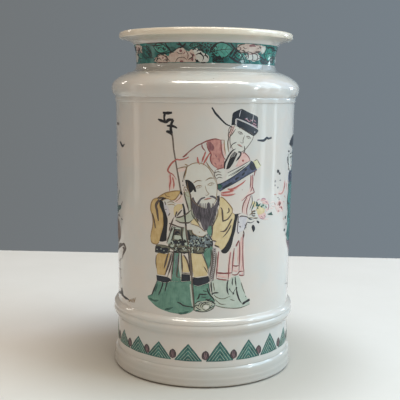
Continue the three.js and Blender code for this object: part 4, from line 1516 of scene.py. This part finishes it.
for i in range(46):
    across, height = (stitch.uniform(-9.4, 5.4), stitch.uniform(105, 113.6))
    if inside_edge(pairs((across, height)), pairs(BELT))[0]:
        tip = (across + stitch.uniform(-1.3, 1.3), height + stitch.uniform(-1, 1))
        belt_dark.stroke((across, height), tip, width=stitch.uniform(0.7, 1.5), ends=(0.9, 0.6))
belt_dark.strokes(0.8, [-26.4,104.6, -20,103.4, -14,103.8, -9.6,103],
    [-26,100.6, -20,100.4, -14,100.8, -8,101, -1,100.6, 3,103.6], [-8.6,117.4, -7.5,114.6, -4,112.8,
    -0.5,112.6, 2.2,114.6], [-15.6,118.9, -16,113, -13.6,106], [-12.8,118.4, -12,112, -10.8,106.4],
    [-21,119.2, -22.4,113, -24.2,107.4], [-23,119.6, -25.8,112, -27.4,106.4],
    [-21.8,113.4, -20,113.8, -18,113.6], [5.2,112, 6.4,109, 6.6,105.6], [-21.4,117.2, -16.6,117.2])
belt_dark.piece()
belt_light.dots(0.9, -35.4,101.4, -32,102, -29.6,100.9, -22.8,108, -18,108.4)
belt_light.dot(-23.2, 105, 2.8, 2)
belt_light.strokes(0.6, [-24.8,116, -26.4,111], [-13.8,116, -12.2,108.6])
belt_light.piece()
washed("belt_turquoise", green, OVER, [2.5,121, 5.5,121, 6.2,117, 5,113, 2.5,116],
    [-1,112, 1.6,112.8, 3.4,110.4, 1,109.6], [-12,108.6, -9.4,108, -9.6,105, -12,105.4])

# %% [markdown]
# Below the belt hang overlapping panels, each a wash with a dark hem, and a twisted cord. The cord's
# twists are short strokes in a loop, since they repeat along a line.

# %% The skirt: yellow panels with black hems
washed("skirt_panels", ochre, WASH, [-35.6,97.5, -33,98.8, -28.5,98.5, -24.6,99.6, -25.4,96, -27,91,
    -28,87, -28.6,82.6, -35.2,82.6, -36,88, -36.3,92])
washed("skirt_pale_panels", straw, WASH, [-15.4,98.4, -14,98.8, -12,94.6, -10.6,90.4, -10,86.3,
    -15.1,86.3, -15.2,92], [-9,101, -2.5,101, -1,99.5, 0.5,96, 2.5,92, 3.3,88, 3,84.3, -1,83.8, -6.5,82.8,
    -7.3,86, -8,91, -9,97])
washed("skirt_hems", ink, WASH, [-36.2,82, -35.7,78, -33,77.6, -28,77.3, -25,78.5, -23.5,79, -24,80,
    -26.5,81.5, -30,81.8], [-15.8,84.8, -9.5,84.8, -9.2,80, -16.2,79.2],
    [-7.2,83, -4,82.5, 0,83.2, 4,84, 5,80, 3,78.6, 0,77.5, -3,76.5, -5.5,76.8, -7.5,78.5])
skirt_lines = Enamel("skirt_lines", brown, LINE)
skirt_lines.strokes(1.25, [-26,100, -27.2,96, -28.6,91, -29.6,87.6], [-23.6,99.5, -24.8,94.5, -26.2,90,
    -28,85, -28.8,82.6])
skirt_lines.strokes(0.95, [-22.2,101, -23,95, -24.4,89, -26,84, -27,81.4],
    [-16,100, -15.8,96, -15.4,90, -15.4,85], [-14.3,99, -12.4,96, -10.9,92, -9.9,87],
    [-17.7,101, -18.4,92, -19.4,84.6, -19.4,82.4, -15.8,82.2], [-21.7,102, -22.3,93, -23.3,84, -23.6,80])
skirt_lines.strokes(0.6, [0.4,91, 1.8,88.8, 3.4,86], [-0.8,100.4, 0.6,97, 2.4,92.6, 3.7,88, 4.2,84.4],
    [-15.4,85.5, -9.6,85.6], [-13.4,98.4, -11.6,95, -10.4,91], [-36.3,97, -36.6,92, -36,87],
    [5.2,104, 5.8,98, 5.2,92, 4.2,88])
for i in range(15):
    skirt_lines.stroke((5.8 + 0.12 * i, 82 + 1.5 * i), (7.2 + 0.1 * i, 82.9 + 1.5 * i), width=0.7)
skirt_lines.stroke(9.3,101, 9,94, 8,86, 7,80, width=0.8)
skirt_lines.stroke(6.2,103.4, 6.8,98, 6.4,92, 5.4,86, 5,81, width=0.8)
skirt_lines.piece()
sash = Enamel("sash_ends", green, WASH)
sash.wash([2,105, 6.8,106, 6,98, 5.4,93, 3.8,89, 2.6,93, 1,97, 0,101])
sash.strokes(0.9, [3,104, 3.6,98, 4,92])
sash.piece()
washed("sash_panel", green, OVER, [-21.4,101, -18,100.6, -18,93, -17.6,87, -16.6,82.6, -16.2,79, -23.6,79,
    -22.8,84, -22.2,92])
lined("sash_panel_shade", slate, TOP, 1.0, [-20.6,100, -20.2,94, -20.4,88, -21.4,82],
    [-18.9,98, -18.8,92], ends=(0.9, 0.3))
washed("pale_panel", celadon, WASH, [-17.2,100, -16.4,100, -16,92, -15.9,83, -17.2,84, -17.4,90])

# %% [markdown]
# Green enamel is thick and glassy. On a real jar its folds are black lines beneath it; here they lie
# on top, where they stay sharp without making the green see-through.

# %% The green underskirt and the shoe
washed("underskirt", green, WASH, [-35.5,77.8, -38,72, -40,67.5, -44.5,65, -44,63, -41,61, -36,58,
    -30,56.2, -22,55, -14,55, -9,56.5, -6.5,59, -6,62.4, -0.6,65, 4,65.6, 9.6,64.4, 8,67, 5.4,72,
    4.6,78.8, 3,78.4, 0,77.3, -3,76.3, -5.5,76.6, -7.7,78.4, -8.6,80, -16.4,79, -23.5,78.8, -25,78.3,
    -28,77.1, -33,77.4])
under_lines = Enamel("underskirt_lines", black, LINE)
under_lines.strokes(0.95, [-30.5,78, -31,75, -32.5,71, -34.5,67], [-27,78, -28,74, -28.8,70.5],
    [-40.5,66, -39,69.5, -37.5,73, -36.3,76], [-19,63.5, -16.5,62.8, -14.5,61.5, -10,60.8, -7.5,61],
    [-2.5,70.5, 0,70.2, 3.5,70.5], [-2.5,70.5, -3,68, -4.5,66.2], [3,75, 4,72, 5.5,69.5, 7.5,67.5, 9,65],
    [2,66.5, 4.5,66.3, 6,67.2])
under_lines.strokes(0.6, [0,73, 3,72.4], [-1,68.4, 2.6,68], [6,66, 9.6,63])
under_lines.strokes(0.5, [-35.5,78, -36.6,75], [4.2,78.4, 4.6,75, 5.6,72])
under_lines.piece()
under_shade = Enamel("underskirt_shade", deep_green, OVER)
under_shade.strokes(1.5, [-29,56.9, -25.6,57.8, -22,59.6], [-18,55.2, -14,55.6, -10,57.4],
    [-43,63.4, -38,62.4, -34,63.4], [-37.6,69.4, -36.2,73, -35,76])
under_shade.strokes(1.1, [-8.8,60, -6.6,60.6, -4.4,62.6], [-5.4,57.8, -2.4,58.6], [5.4,60, 8.4,62])
under_shade.piece()
washed("shoe_upper", sage, WASH, [-6,58.2, -2,57.4, 3,57.7, 7.4,59.6, 9.6,62.6, 7.6,64.6, 2.4,65.6,
    -3.6,64.8, -6,62])
lined("shoe_green_tint", celadon, OVER, 1.4, [-5,62.6, -2.4,63.8, 0.6,64.6], [6.2,60.6, 8,62.6, 6.4,64.2],
    [-4.8,59.4, -2.2,58.8])
washed("shoe_sole", paper, OVER, [0.3,60.4, 1,62, 2.6,62.4, 4.7,61.9, 4.3,60, 2.2,59])
shoe_lines = Enamel("shoe_outline", black, TOP)
shoe_lines.strokes(0.6, [-6,58.2, -2,57.3, 3,57.6, 7.4,59.6, 8.8,62.4, 7.8,64.4],
    [-5.6,62.8, -4,64.6, -1,65.4], [3,65.6, 6,65, 8.2,63.2], [-0.6,60.2, 0.4,62.4, 2.8,63.2, 5.4,62.4],
    [5.4,62.2, 4.9,59.8, 2.2,58.4, -0.4,59.8], [-2,60.4, -0.8,63, 2,64.4, 5.6,63.8],
    [-3.2,61, -2.4,63.4, -0.4,64.6], [-5,60.8, -3,59.2, -0.8,58.4], [-4.4,62.8, -3.4,61.4],
    [6,61.4, 7.4,62.6], [5.8,59.8, 7.2,61])
shoe_lines.dots(0.6, -4.6,61.8, -3.2,60, -1.4,62, -0.6,64, 2,63.8, 5.8,61, 6.6,63.6, -2.4,58.6)
shoe_lines.piece()

# %% [markdown]
# ## The sprig, the flowers and the sides
# The elder holds out a peach sprig. Further right come a few flowers and a third figure in green, of
# whom the photograph shows only an edge; left come branches, a rock and the ground line. What lies
# beyond the two edges is guessed in the same manner.

# %% The sprig in the elder's hand
washed("sprig_peach", straw, WASH, [40.2,130.5, 41,133, 43.5,133.6, 46,132.4, 48.6,130.8, 48.4,128.4,
    45,127, 42,127.4], [37.6,137.6, 40,136, 39.6,133, 37.6,133.4, 36.4,136])
washed("sprig_peach_tip", celadon, WASH, [43.5,133.5, 46,135.5, 49.5,134.8, 50.5,132, 48.6,130.8,
    46,132.4])
blush = Enamel("sprig_blush", rose_wash, OVER)
blush.wash([42,127.2, 45,127.4, 48.2,128.6, 50,127, 49,124.8, 46,123.6, 43.4,125],
    [49.6,130.6, 51,131.8, 52,129.6, 50.4,128.6])
blush.strokes(1.6, [44.4,137.6, 47.6,137.6, 51,136, 53,133.4], [46,135.8, 49,135.2, 51.4,134])
blush.piece()
lined("sprig_pale_rays", pink_wash, OVER, 1.0, [53.2,130.4, 55.4,131, 58,130.4],
    [54.4,134.6, 57,135.4, 60.6,134.8], [56,132.8, 60,132, 63.6,132.6], [46,124, 50,123.2, 53.6,123.4])
petals = Enamel("sprig_petals", mauve, TOP)
petals.strokes(0.9, [44.8,138.4, 47,138.8, 49.6,138], [49,136.4, 51,135.6],
    [52.4,134.4, 52.8,132, 51.8,129.6])
petals.strokes(0.6, [40.6,137.8, 43.4,138.8], [47.6,126.4, 50,125], [45,126, 47.4,124.6],
    [44,124.6, 47,123.8, 49.4,124.6])
petals.piece()
sprig_leaves = Enamel("sprig_leaves", deep_green, LINE)
sprig_leaves.strokes(1.3, [40.2,137, 41.6,134.6, 42.2,133.6, 44.2,135.4], [40,135, 41.4,133.4],
    [44.4,133.4, 46.2,132.6], [46,134.2, 47.6,133.4], [41,132.6, 42.2,131.8])
sprig_leaves.strokes(0.8, [39,137.4, 37.6,134, 36,130.6], [49.4,133, 50.4,131.6])
sprig_leaves.wash([51.2,126.9, 54.2,127.4, 56,128.2, 56.8,126.8, 58,125.4, 54.5,125.9, 52.6,126.2])
sprig_leaves.piece()
washed("sprig_fallen_leaves", ink, LINE, [41,123, 42.3,122.8, 43.8,121.6, 43,120.6, 41.6,121.4],
    [37.4,120.2, 38.6,119.8, 39.8,117.6, 39.2,115.6, 38.2,114.6, 37.4,116.4, 36.6,118.4])
finger_lines = Enamel("elder_fingers", ink, LINE)
finger_lines.strokes(0.9, [37,130.2, 39.6,129.9], [37,128.5, 39.8,128.2], [37.2,126.8, 39.6,126.6],
    [34,125.4, 35.2,124.6, 37.2,124.4], [37,130.2, 36.6,128.4, 37,126.8])
finger_lines.strokes(0.5, [38,125, 42,124.6], [32.4,122.6, 36,121.8, 39,123], [30.8,121, 32,118.4])
finger_lines.piece()

# %% [markdown]
# The flowers are loose pink washes with a few red strokes over them. Faint flecks beside them stand
# for the specks that a brush sheds.

# %% Flowers at the right
washed("side_flowers", pink_wash, WASH, [60.4,131.4, 62.4,134.4, 66,136, 69.6,135, 72.4,132.4, 74,128.6,
    71,126.4, 68,127.2, 64.6,125.6, 62.4,128], [63.6,141.6, 66,143, 70.4,142.4, 72,146.6, 73.4,150.6,
    75.6,148, 75.2,143.6, 73,140.4, 68,139.4, 64.6,140], [76.8,150, 79.6,149, 80.8,144, 79.6,140.6,
    77.4,143])
blooms_red = Enamel("side_flower_strokes", red_wash, OVER)
blooms_red.strokes(1.5, [64.6,141, 68.4,140.6, 72,142.2, 73.8,145.4, 73.6,149.6],
    [63.4,132, 66,134.2, 69,133.6], [66,130.6, 69.6,130, 72,127.6], [64,128, 66.6,127.4],
    [78,148, 79,142.6])
blooms_red.strokes(0.7, [58.6,141, 61.6,140.4], [59.4,134.6, 61,132.4], [73.6,121.4, 75.6,119.6],
    [74.4,138.6, 76.6,136.4], [72.6,134, 75.4,133.6])
blooms_red.piece()
stems = Enamel("side_flower_lines", maroon, LINE)
stems.strokes(1.1, [72.4,143.4, 74,146, 74.2,149.4], [65.4,132.6, 67,133.8, 68.4,132.6],
    [69.6,130.6, 70.8,128.8])
stems.dot(66.6, 132.4, 2.6, 2)
stems.piece()
flecks = Enamel("side_flecks", black, LINE)
flecks.stroke(61.4,157.9, 64.2,157.7, width=2.1, ends=(0.6, 0.8))
flecks.stroke(63.8,156.4, 66.2,155.6, width=1.6, ends=(0.8, 0.4))
flecks.piece()
faint = Enamel("side_faint_flecks", ash, LINE)
for across, height, wide, tall in ((59.6, 150.6, 1.8, 2), (59.6, 147.6, 1.4, 1.6),
        (66.4, 150.8, 2.4, 1.2), (63.2, 145.6, 2, 1.4), (64, 138, 1.6, 1), (65.6, 136.6, 1.2, 1.4)):
    faint.dot(across, height, wide, tall)
faint.piece()

# %% [markdown]
# Only a sliver of hat, robe and hem can be seen of this figure. The rest is made up of the same few
# parts as the other two have, in teal, aubergine and blue.

# %% The third figure, seen only by its edge
washed("third_robe", teal, WASH, [83.4,146, 84.4,140, 82.6,134, 83.4,126, 82.6,121, 84,114, 82.4,108,
    84,104, 88,101.6, 98,100.6, 106,100, 112,100, 112,116, 111,130, 109,144, 104,149, 96,148.6, 88,147.8])
washed("third_robe_trim", aubergine, OVER, [82.4,104.4, 86,102.4, 93,101.2, 98,101, 106,100.4, 112,100.4,
    112,87.6, 106,87.4, 98,89.8, 92,93.4, 87,97.4, 83.4,101], [97,148, 98.4,140, 97,126, 99.4,124,
    102.4,136, 100.6,147])
washed("third_collar", navy, WASH, [82.4,155.4, 86,156.4, 98,156, 101,152, 99,148.2, 88,147.4, 82.8,148.4,
    81.6,152])
third_skin = Enamel("third_skin", flesh, WASH)
third_place = head_places((87.6, 155.4), (86.4, 178))
third_skin.wash(third_place(-0.32,0.66, -0.33,0.5, -0.3,0.28, -0.18,0.1, 0.02,0, 0.2,0.12, 0.28,0.32,
    0.31,0.5, 0.3,0.66))
third_skin.piece()
washed("third_hood", slate, OVER, [92,175.6, 93.4,170, 92.6,164, 93.6,159, 92,154, 97,151.6, 103.6,151,
    107,155, 105.4,162, 105.6,169, 102.6,175.6])
third_hat = Enamel("third_hat", ink, OVER)
third_hat.wash([80.4,177, 83.6,180, 88,182, 96,183.6, 101,182, 101.6,177, 96,175, 90,174.4, 84,175.8])
third_hat.strokes(1.2, [79,172, 81.4,171.4, 83,171.6], [79.2,162.4, 82,161.6], [80,158.4, 82,157.4])
third_hat.hairs([84,157, 84.4,151, 86,146], [91.4,157, 91.4,151, 88.6,145], 6, 0.8)
third_hat.piece()
washed("third_skirt", celadon, WASH, [101.4,89.4, 106,88.2, 112,88.6, 117,89.4, 118.4,80, 121.6,70,
    123.4,61.6, 117,60, 110,60.4, 102.6,59.8, 101.6,68, 103,78])
washed("third_sleeve", teal, OVER, [108.6,144.6, 113,138, 117.4,126, 120,114, 119.4,104, 114.6,99.6,
    112.6,106, 112.4,118, 109.4,132])
washed("third_hem", ink, OVER, [101.6,62.4, 110,63, 117,62.6, 123.6,64.2, 124,60.6, 117,59.4, 110,59.8,
    102,59], [103.4,58.8, 101.2,57.4, 103,56.4, 109.4,56.6, 110,58.8],
    [114,59, 113.6,57, 116,56.4, 121,56.8, 121.4,59], [112.4,107, 114.8,105.4, 119.6,106.6, 120,102.6,
    115,98.6, 112.4,102])
third_lines = Enamel("third_lines", black, LINE)
third_lips = Enamel("third_lips", red_wash, TOP)
draw_face(third_lines, third_lips, third_place, 0.5)
third_lips.piece()
third_lines.strokes(1.0, [82.4,148.6, 82.8,140, 81.4,134, 82,126], [82,133.4, 84.4,131, 88.6,130.4],
    [84,128, 86,124, 87.6,120], [84,126, 88,121, 94,118], [104,148, 106,136, 103,120, 105,104, 104,94],
    [96,116, 93,106, 94,98], [88,112, 87,104], [109,144, 111,130, 112,116, 113,100, 112,90, 106,87.2,
    98,89.2])
for across, height in ((78.4, 121.2), (80.8, 115.8), (77, 111.6), (81.8, 107.6)):
    third_lines.dot(across, height, 2.6, 2.4)
third_lines.strokes(0.8, [101.4,89.4, 103,78, 101.6,68, 102,60], [117,89.4, 118.4,80, 121.6,70, 123.6,61],
    [108,86, 107,74, 108.4,64], [112.6,86, 114,74, 116.4,66], [109.4,144.4, 114,138, 118,126, 120.6,114,
    120,103, 114.6,98.6])
third_lines.strokes(0.6, [84,68, 90,66.8, 98,65.4])
third_lines.piece()

# %% [markdown]
# Only the tips of branches show at the left. They are continued as a bough with foliage, so that the
# painting has no edge when the jar is turned.

# %% Branches, rock and ground at the left
washed("bough", bark, WASH, [-126,121, -119,116, -112,118.4, -104,116, -97,117.6, -90,116, -86,114,
    -83.4,110, -82.8,104.6, -85.4,100.6, -91,99.6, -97,101, -104,98.6, -111,101, -119,102, -128,110])
leafage = Enamel("branch_leaves", deep_green, OVER)
leafage.wash([-117,121, -115,125, -110,126.6, -107,129.6, -101,128, -96,128.8, -90,127, -84,128.4,
    -80.6,127.6, -82,125.4, -88,123.6, -93,120.6, -99,122, -105,119.6, -111,121.6])
leafage.stroke(-92,131, -88,136, -84.6,140, width=1.6, ends=(0.9, 0.3))
leafage.piece()
branches = Enamel("branches", brown, OVER)
branches.stroke(-90.4,190.4, -86.6,190.8, -84,190, width=1.8)
branches.strokes(1.2, [-90,124.4, -84,126.4, -80,129.4, -77,132], [-92,119.6, -87,119.8, -84,119.2],
    [-81.4,118.2, -77.6,117.8])
branches.strokes(1.9, [-98,90, -90,94, -84,96, -78,98.6, -74.4,98.8, -72,96.6, -74,94, -77.6,90.4,
    -80.4,86.6], [-90,95.8, -84,97.4, -79.6,98.2], [-84,104, -88,101, -96,98],
    [-78.4,96, -75,96, -76.4,93, -79,90])
branches.strokes(0.9, [-120,108, -110,110, -102,108], [-112,113, -104,111.6, -96,113],
    [-104,103.6, -97,105, -90,104], [-94,109, -88,107.6])
branches.strokes(0.7, [-82,87, -88,84, -94,83], [-83,78, -88,77, -94,76], [-85.6,71, -81,70.8],
    [-85.4,86, -86.4,78, -85,70, -84.6,63])
branches.piece()
ground = Enamel("ground_line", black, OVER)
ground.stroke(-82,177, -79.4,176.2, -77,174.7, -75,174.4, -71.8,176, width=1.9, ends=(0.4, 0.5))
ground.dot(-83, 126.6, 3.4, 1.8)
ground.stroke(-98,56.4, -92,57, -86,58.6, -80,58, -74,57.4, -69,57.4, -66,56.2, width=1.9,
    ends=(0.3, 0.3))
ground.wash([-84.6,58, -83.4,62.6, -80.6,63.8, -78.6,60.6, -77,57.8, -81,57])
ground.piece()
grass = Enamel("ground_grass", umber, LINE)
for i in range(5):
    grass.stroke((-67.6 + i * 1.9, 55.8 + i * 0.2), (-65.6 + i * 1.9, 58.2 + i * 0.7), width=0.7)
grass.piece()

# %% [markdown]
# The far side of the jar is not in the photograph. A potter's painter would not leave it bare, so an
# old tree with a few flowers stands behind the figures, on the same ground line.

# %% The far side
far_tree = Enamel("far_tree", brown, WASH)
far_tree.wash([-132,56, -129,70, -131,84, -127,98, -129,114, -123,130, -125,146, -118,158, -120,160,
    -127,148, -128.4,132, -134,116, -132.6,98, -137,84, -135,70, -140,56])
far_tree.strokes(1.8, [-127,132, -118,137, -110,136, -101,141], [-131,112, -140,119, -149,121, -156,128],
    [-122,158, -131,166, -138,167], [-119,157, -110,163, -102,163])
far_tree.strokes(1.2, [-160,55.6, -148,57, -136,56, -122,57, -108,56.4, -96,57],
    [104,57, 116,55.8, 130,57, 144,56, 156,57])
far_tree.piece()
far_leaves = Enamel("far_leaves", deep_green, OVER)
far_blossoms = Enamel("far_blossoms", red_wash, TOP)
for across, height in ((-101, 142), (-107, 139), (-112, 134), (-156, 129), (-150, 124), (-144, 117),
        (-138, 168), (-130, 170), (-120, 167), (-103, 165), (-108, 160), (-114, 168)):
    turn = hand.uniform(0, 6)
    for i in range(5):
        angle = turn + i * FIFTH
        far_blossoms.dot(across + 1.7 * math.sin(angle), height + 1.7 * math.cos(angle), 1.7)
    far_leaves.stroke((across + 3, height), (across + 5, height + 1.4), (across + 7.4, height + 0.4),
        width=1.6)
    far_leaves.stroke((across - 3, height - 1), (across - 5, height - 0.4), (across - 7, height - 2),
        width=1.6)
far_blossoms.piece()
far_leaves.piece()
FAR_ROCK = [122,58, 119,66, 123,74, 121,82, 128,90, 135,88, 141,94, 150,88, 149,76, 155,68, 152,59,
    138,57.4]
washed("far_rock", navy, WASH, FAR_ROCK)
lined("far_rock_lines", black, LINE, 1.0, FAR_ROCK[:-2], [128,90, 130,80, 127,70, 131,62],
    [141,94, 139,82, 144,72, 141,63])

# %% [markdown]
# ## The studio
# The jar stands on a plain pale table before a grey backdrop. The table is a thin block with a
# cloth-like noise and a painted shadow close round the foot, so that the jar sits on it and doesn't
# float.

# %% Table and backdrop
TABLE_EDGE = 0.4 # how far the table's far edge lies behind the jar
TABLE_HALF = 1.1
turned = Matrix.Translation((0, TABLE_EDGE, 0)) @ Matrix.Rotation(math.radians(-2), 4, "Z")
corners = [turned @ Vector((x, y, z)) for x in (-TABLE_HALF, TABLE_HALF)
           for y in (-TABLE_HALF - TABLE_EDGE, 0) for z in (-0.02, 0)]
sides = [(0, 1, 3, 2), (4, 6, 7, 5), (0, 4, 5, 1), (2, 3, 7, 6), (0, 2, 6, 4), (1, 5, 7, 3)]
cloth = Finish("pale_table")
table = make_mesh("table_top", corners, sides, cloth.material)
weave = cloth.mix(cloth.noise(60, 3.0), srgb(222, 223, 221), srgb(214, 215, 212))
spot = cloth.add("ShaderNodeVectorMath", {"operation": "LENGTH"}, {0: cloth.place}, 1)
# Painted shadow: the cloth darkens within 0.17 m of the jar's axis.
cloth.set(Base_Color=cloth.mix(1 - spot.between(0.07, 0.17), weave, srgb(180, 178, 171)), Roughness=0.85)
print("Table laid, far edge at", TABLE_EDGE)


# %% [markdown]
# The world adds soft warm light from all round. The camera and the gloss see a grey backdrop instead,
# with painted light that makes it lighter and cooler to the right. Light Path's rays choose it, so the
# glaze mirrors what stands behind it.

# %% The world
def make_world():
    """Soft light from all round, and for the camera a backdrop with painted light, lighter and cooler to
    the right.
    """
    world = bpy.data.worlds.new("studio")
    world.use_nodes = True
    bpy.context.scene.world = world
    net = Network(world.node_tree)
    direction = net.add("ShaderNodeTexCoord", {}, {}, "Generated")
    right = net.add("ShaderNodeSeparateXYZ", {}, {0: direction}, "X")
    # Painted light: the backdrop grows lighter and cooler towards the right.
    across = net.add("ShaderNodeMapRange", {}, {"Value": right, "From Min": -0.26, "From Max": 0.26})
    backdrop = {"Factor": across, 6: srgb(114, 118, 120), 7: srgb(119, 129, 137)}
    tint = net.add("ShaderNodeMix", {"data_type": "RGBA"}, backdrop, 2)
    seen = net.add("ShaderNodeBackground", {}, {"Color": tint})
    lit = net.tree.nodes["Background"]
    lit.inputs["Color"].default_value = (1.0, 0.825, 0.69, 1)
    lit.inputs["Strength"].default_value = 0.55
    camera_ray, glossy_ray = (net.add("ShaderNodeLightPath", {}, {}, label)
                              for label in ("Is Camera Ray", "Is Glossy Ray"))
    either = camera_ray.math("MAXIMUM", glossy_ray)
    blend = net.add("ShaderNodeMixShader", {}, {0: either, 1: Varying(net, lit.outputs[0]), 2: seen})
    net.feed(net.tree.nodes["World Output"].inputs["Surface"], blend)


make_world()

# %% [markdown]
# Gloss is judged by what it mirrors, so there are two kinds of lamp. A broad cool one at the right, a
# warm one above and a faint one behind light the jar. The rest are seen only in the glaze, as the
# thin and round glints that tell gloss from matt.

# %% The lamps
def softbox(name, azimuth, height, distance, width, tall, power, colour, aim=0.14, glint=False):
    """A rectangular light that faces the jar. azimuth is in degrees, 0 at the camera, plus to the right.
    A glint lights nothing by itself: it is only seen in reflections."""
    lamp = bpy.data.lights.new(name, "AREA")
    lamp.shape = "RECTANGLE"
    lamp.size = width
    lamp.size_y = tall
    lamp.energy = power
    lamp.color = colour
    holder = put(name, lamp)
    holder.visible_camera = False
    holder.visible_diffuse = not glint
    around = math.radians(azimuth)
    place = Vector((distance * math.sin(around), -distance * math.cos(around), height))
    facing = (Vector((0, 0, aim)) - place).to_track_quat("-Z", "Y")
    holder.matrix_world = Matrix.Translation(place) @ facing.to_matrix().to_4x4()


softbox("window_right", 82, 0.95, 1.3, 1.2, 1.3, 19.5, (0.51, 0.79, 1.0))
softbox("window_behind", 118, 0.8, 1.2, 0.9, 1.2, 2.5, (0.5, 0.65, 1.0))
softbox("ceiling_panel", 34, 1.6, 0.6, 1.2, 0.6, 12.5, (1.0, 0.96, 0.84))
softbox("ceiling_glint", 10, 1.5, 0.5, 1.8, 0.4, 21, (1.0, 0.94, 0.82), glint=True)
softbox("ceiling_glint_left", -52, 1.5, 0.6, 0.4, 0.28, 5, (1.0, 0.95, 0.85), glint=True)
softbox("window_edge_a", 76, 0.42, 0.8, 0.09, 0.8, 0.4, (0.8, 0.93, 1.0), aim=0.42, glint=True)
softbox("window_edge_b", 96, 0.42, 0.8, 0.06, 0.8, 0.3, (0.8, 0.93, 1.0), aim=0.42, glint=True)
softbox("door_edge", -93, 0.42, 0.8, 0.14, 0.8, 0.25, (1.0, 0.9, 0.78), aim=0.42, glint=True)
softbox("neck_glint_a", 60, 0.3, 1.0, 0.1, 0.24, 0.9, (0.85, 0.97, 1.0), aim=0.24, glint=True)
softbox("neck_glint_b", 124, 0.3, 1.0, 0.08, 0.16, 0.4, (0.85, 0.97, 1.0), aim=0.24, glint=True)
softbox("neck_glint_c", -84, 0.62, 1.0, 0.07, 0.07, 0.2, (1.0, 0.95, 0.86), aim=0.24, glint=True)
softbox("neck_glint_d", -126, 0.62, 1.0, 0.07, 0.07, 0.2, (1.0, 0.95, 0.86), aim=0.24, glint=True)
softbox("spot_left", -78, 0.75, 1.2, 0.05, 0.05, 0.25, (1.0, 0.95, 0.88), glint=True)
softbox("spot_far_left", -128, 0.8, 1.1, 0.06, 0.06, 0.25, (1.0, 0.95, 0.88), glint=True)
softbox("spot_front", 12, 0.6, 1.5, 0.06, 0.06, 0.35, (1.0, 0.97, 0.92), glint=True)
softbox("spot_right", 70, 0.75, 1.1, 0.1, 0.08, 0.9, (0.9, 0.97, 1.0), glint=True)

# %% [markdown]
# ## Camera
# The photograph was taken from a little below the lip, looking slightly down, with the camera turned
# by under a degree. The numbers are real: distance and height in metres, the lens on a 36 mm sensor.

# %% Camera
CAMERA_DISTANCE = 0.6084
CAMERA_HEIGHT = 0.2148
PITCH = 0.1391
ROLL = 0.01205
YAW = 0.00528
camera_data = bpy.data.cameras.new("camera")
camera_data.lens = 69.08
camera_data.sensor_width = 36
camera = put("camera", camera_data)
stand = Matrix.Translation((0, -CAMERA_DISTANCE, CAMERA_HEIGHT))
for angle, axis in ((YAW, "Z"), (math.pi / 2 - PITCH, "X"), (ROLL, "Z")):
    stand = stand @ Matrix.Rotation(angle, 4, axis)
camera.matrix_world = stand
bpy.context.scene.camera = camera
bpy.context.scene.view_settings.view_transform = "Standard"
print("Camera at", tuple(round(v, 4) for v in camera.matrix_world.translation))
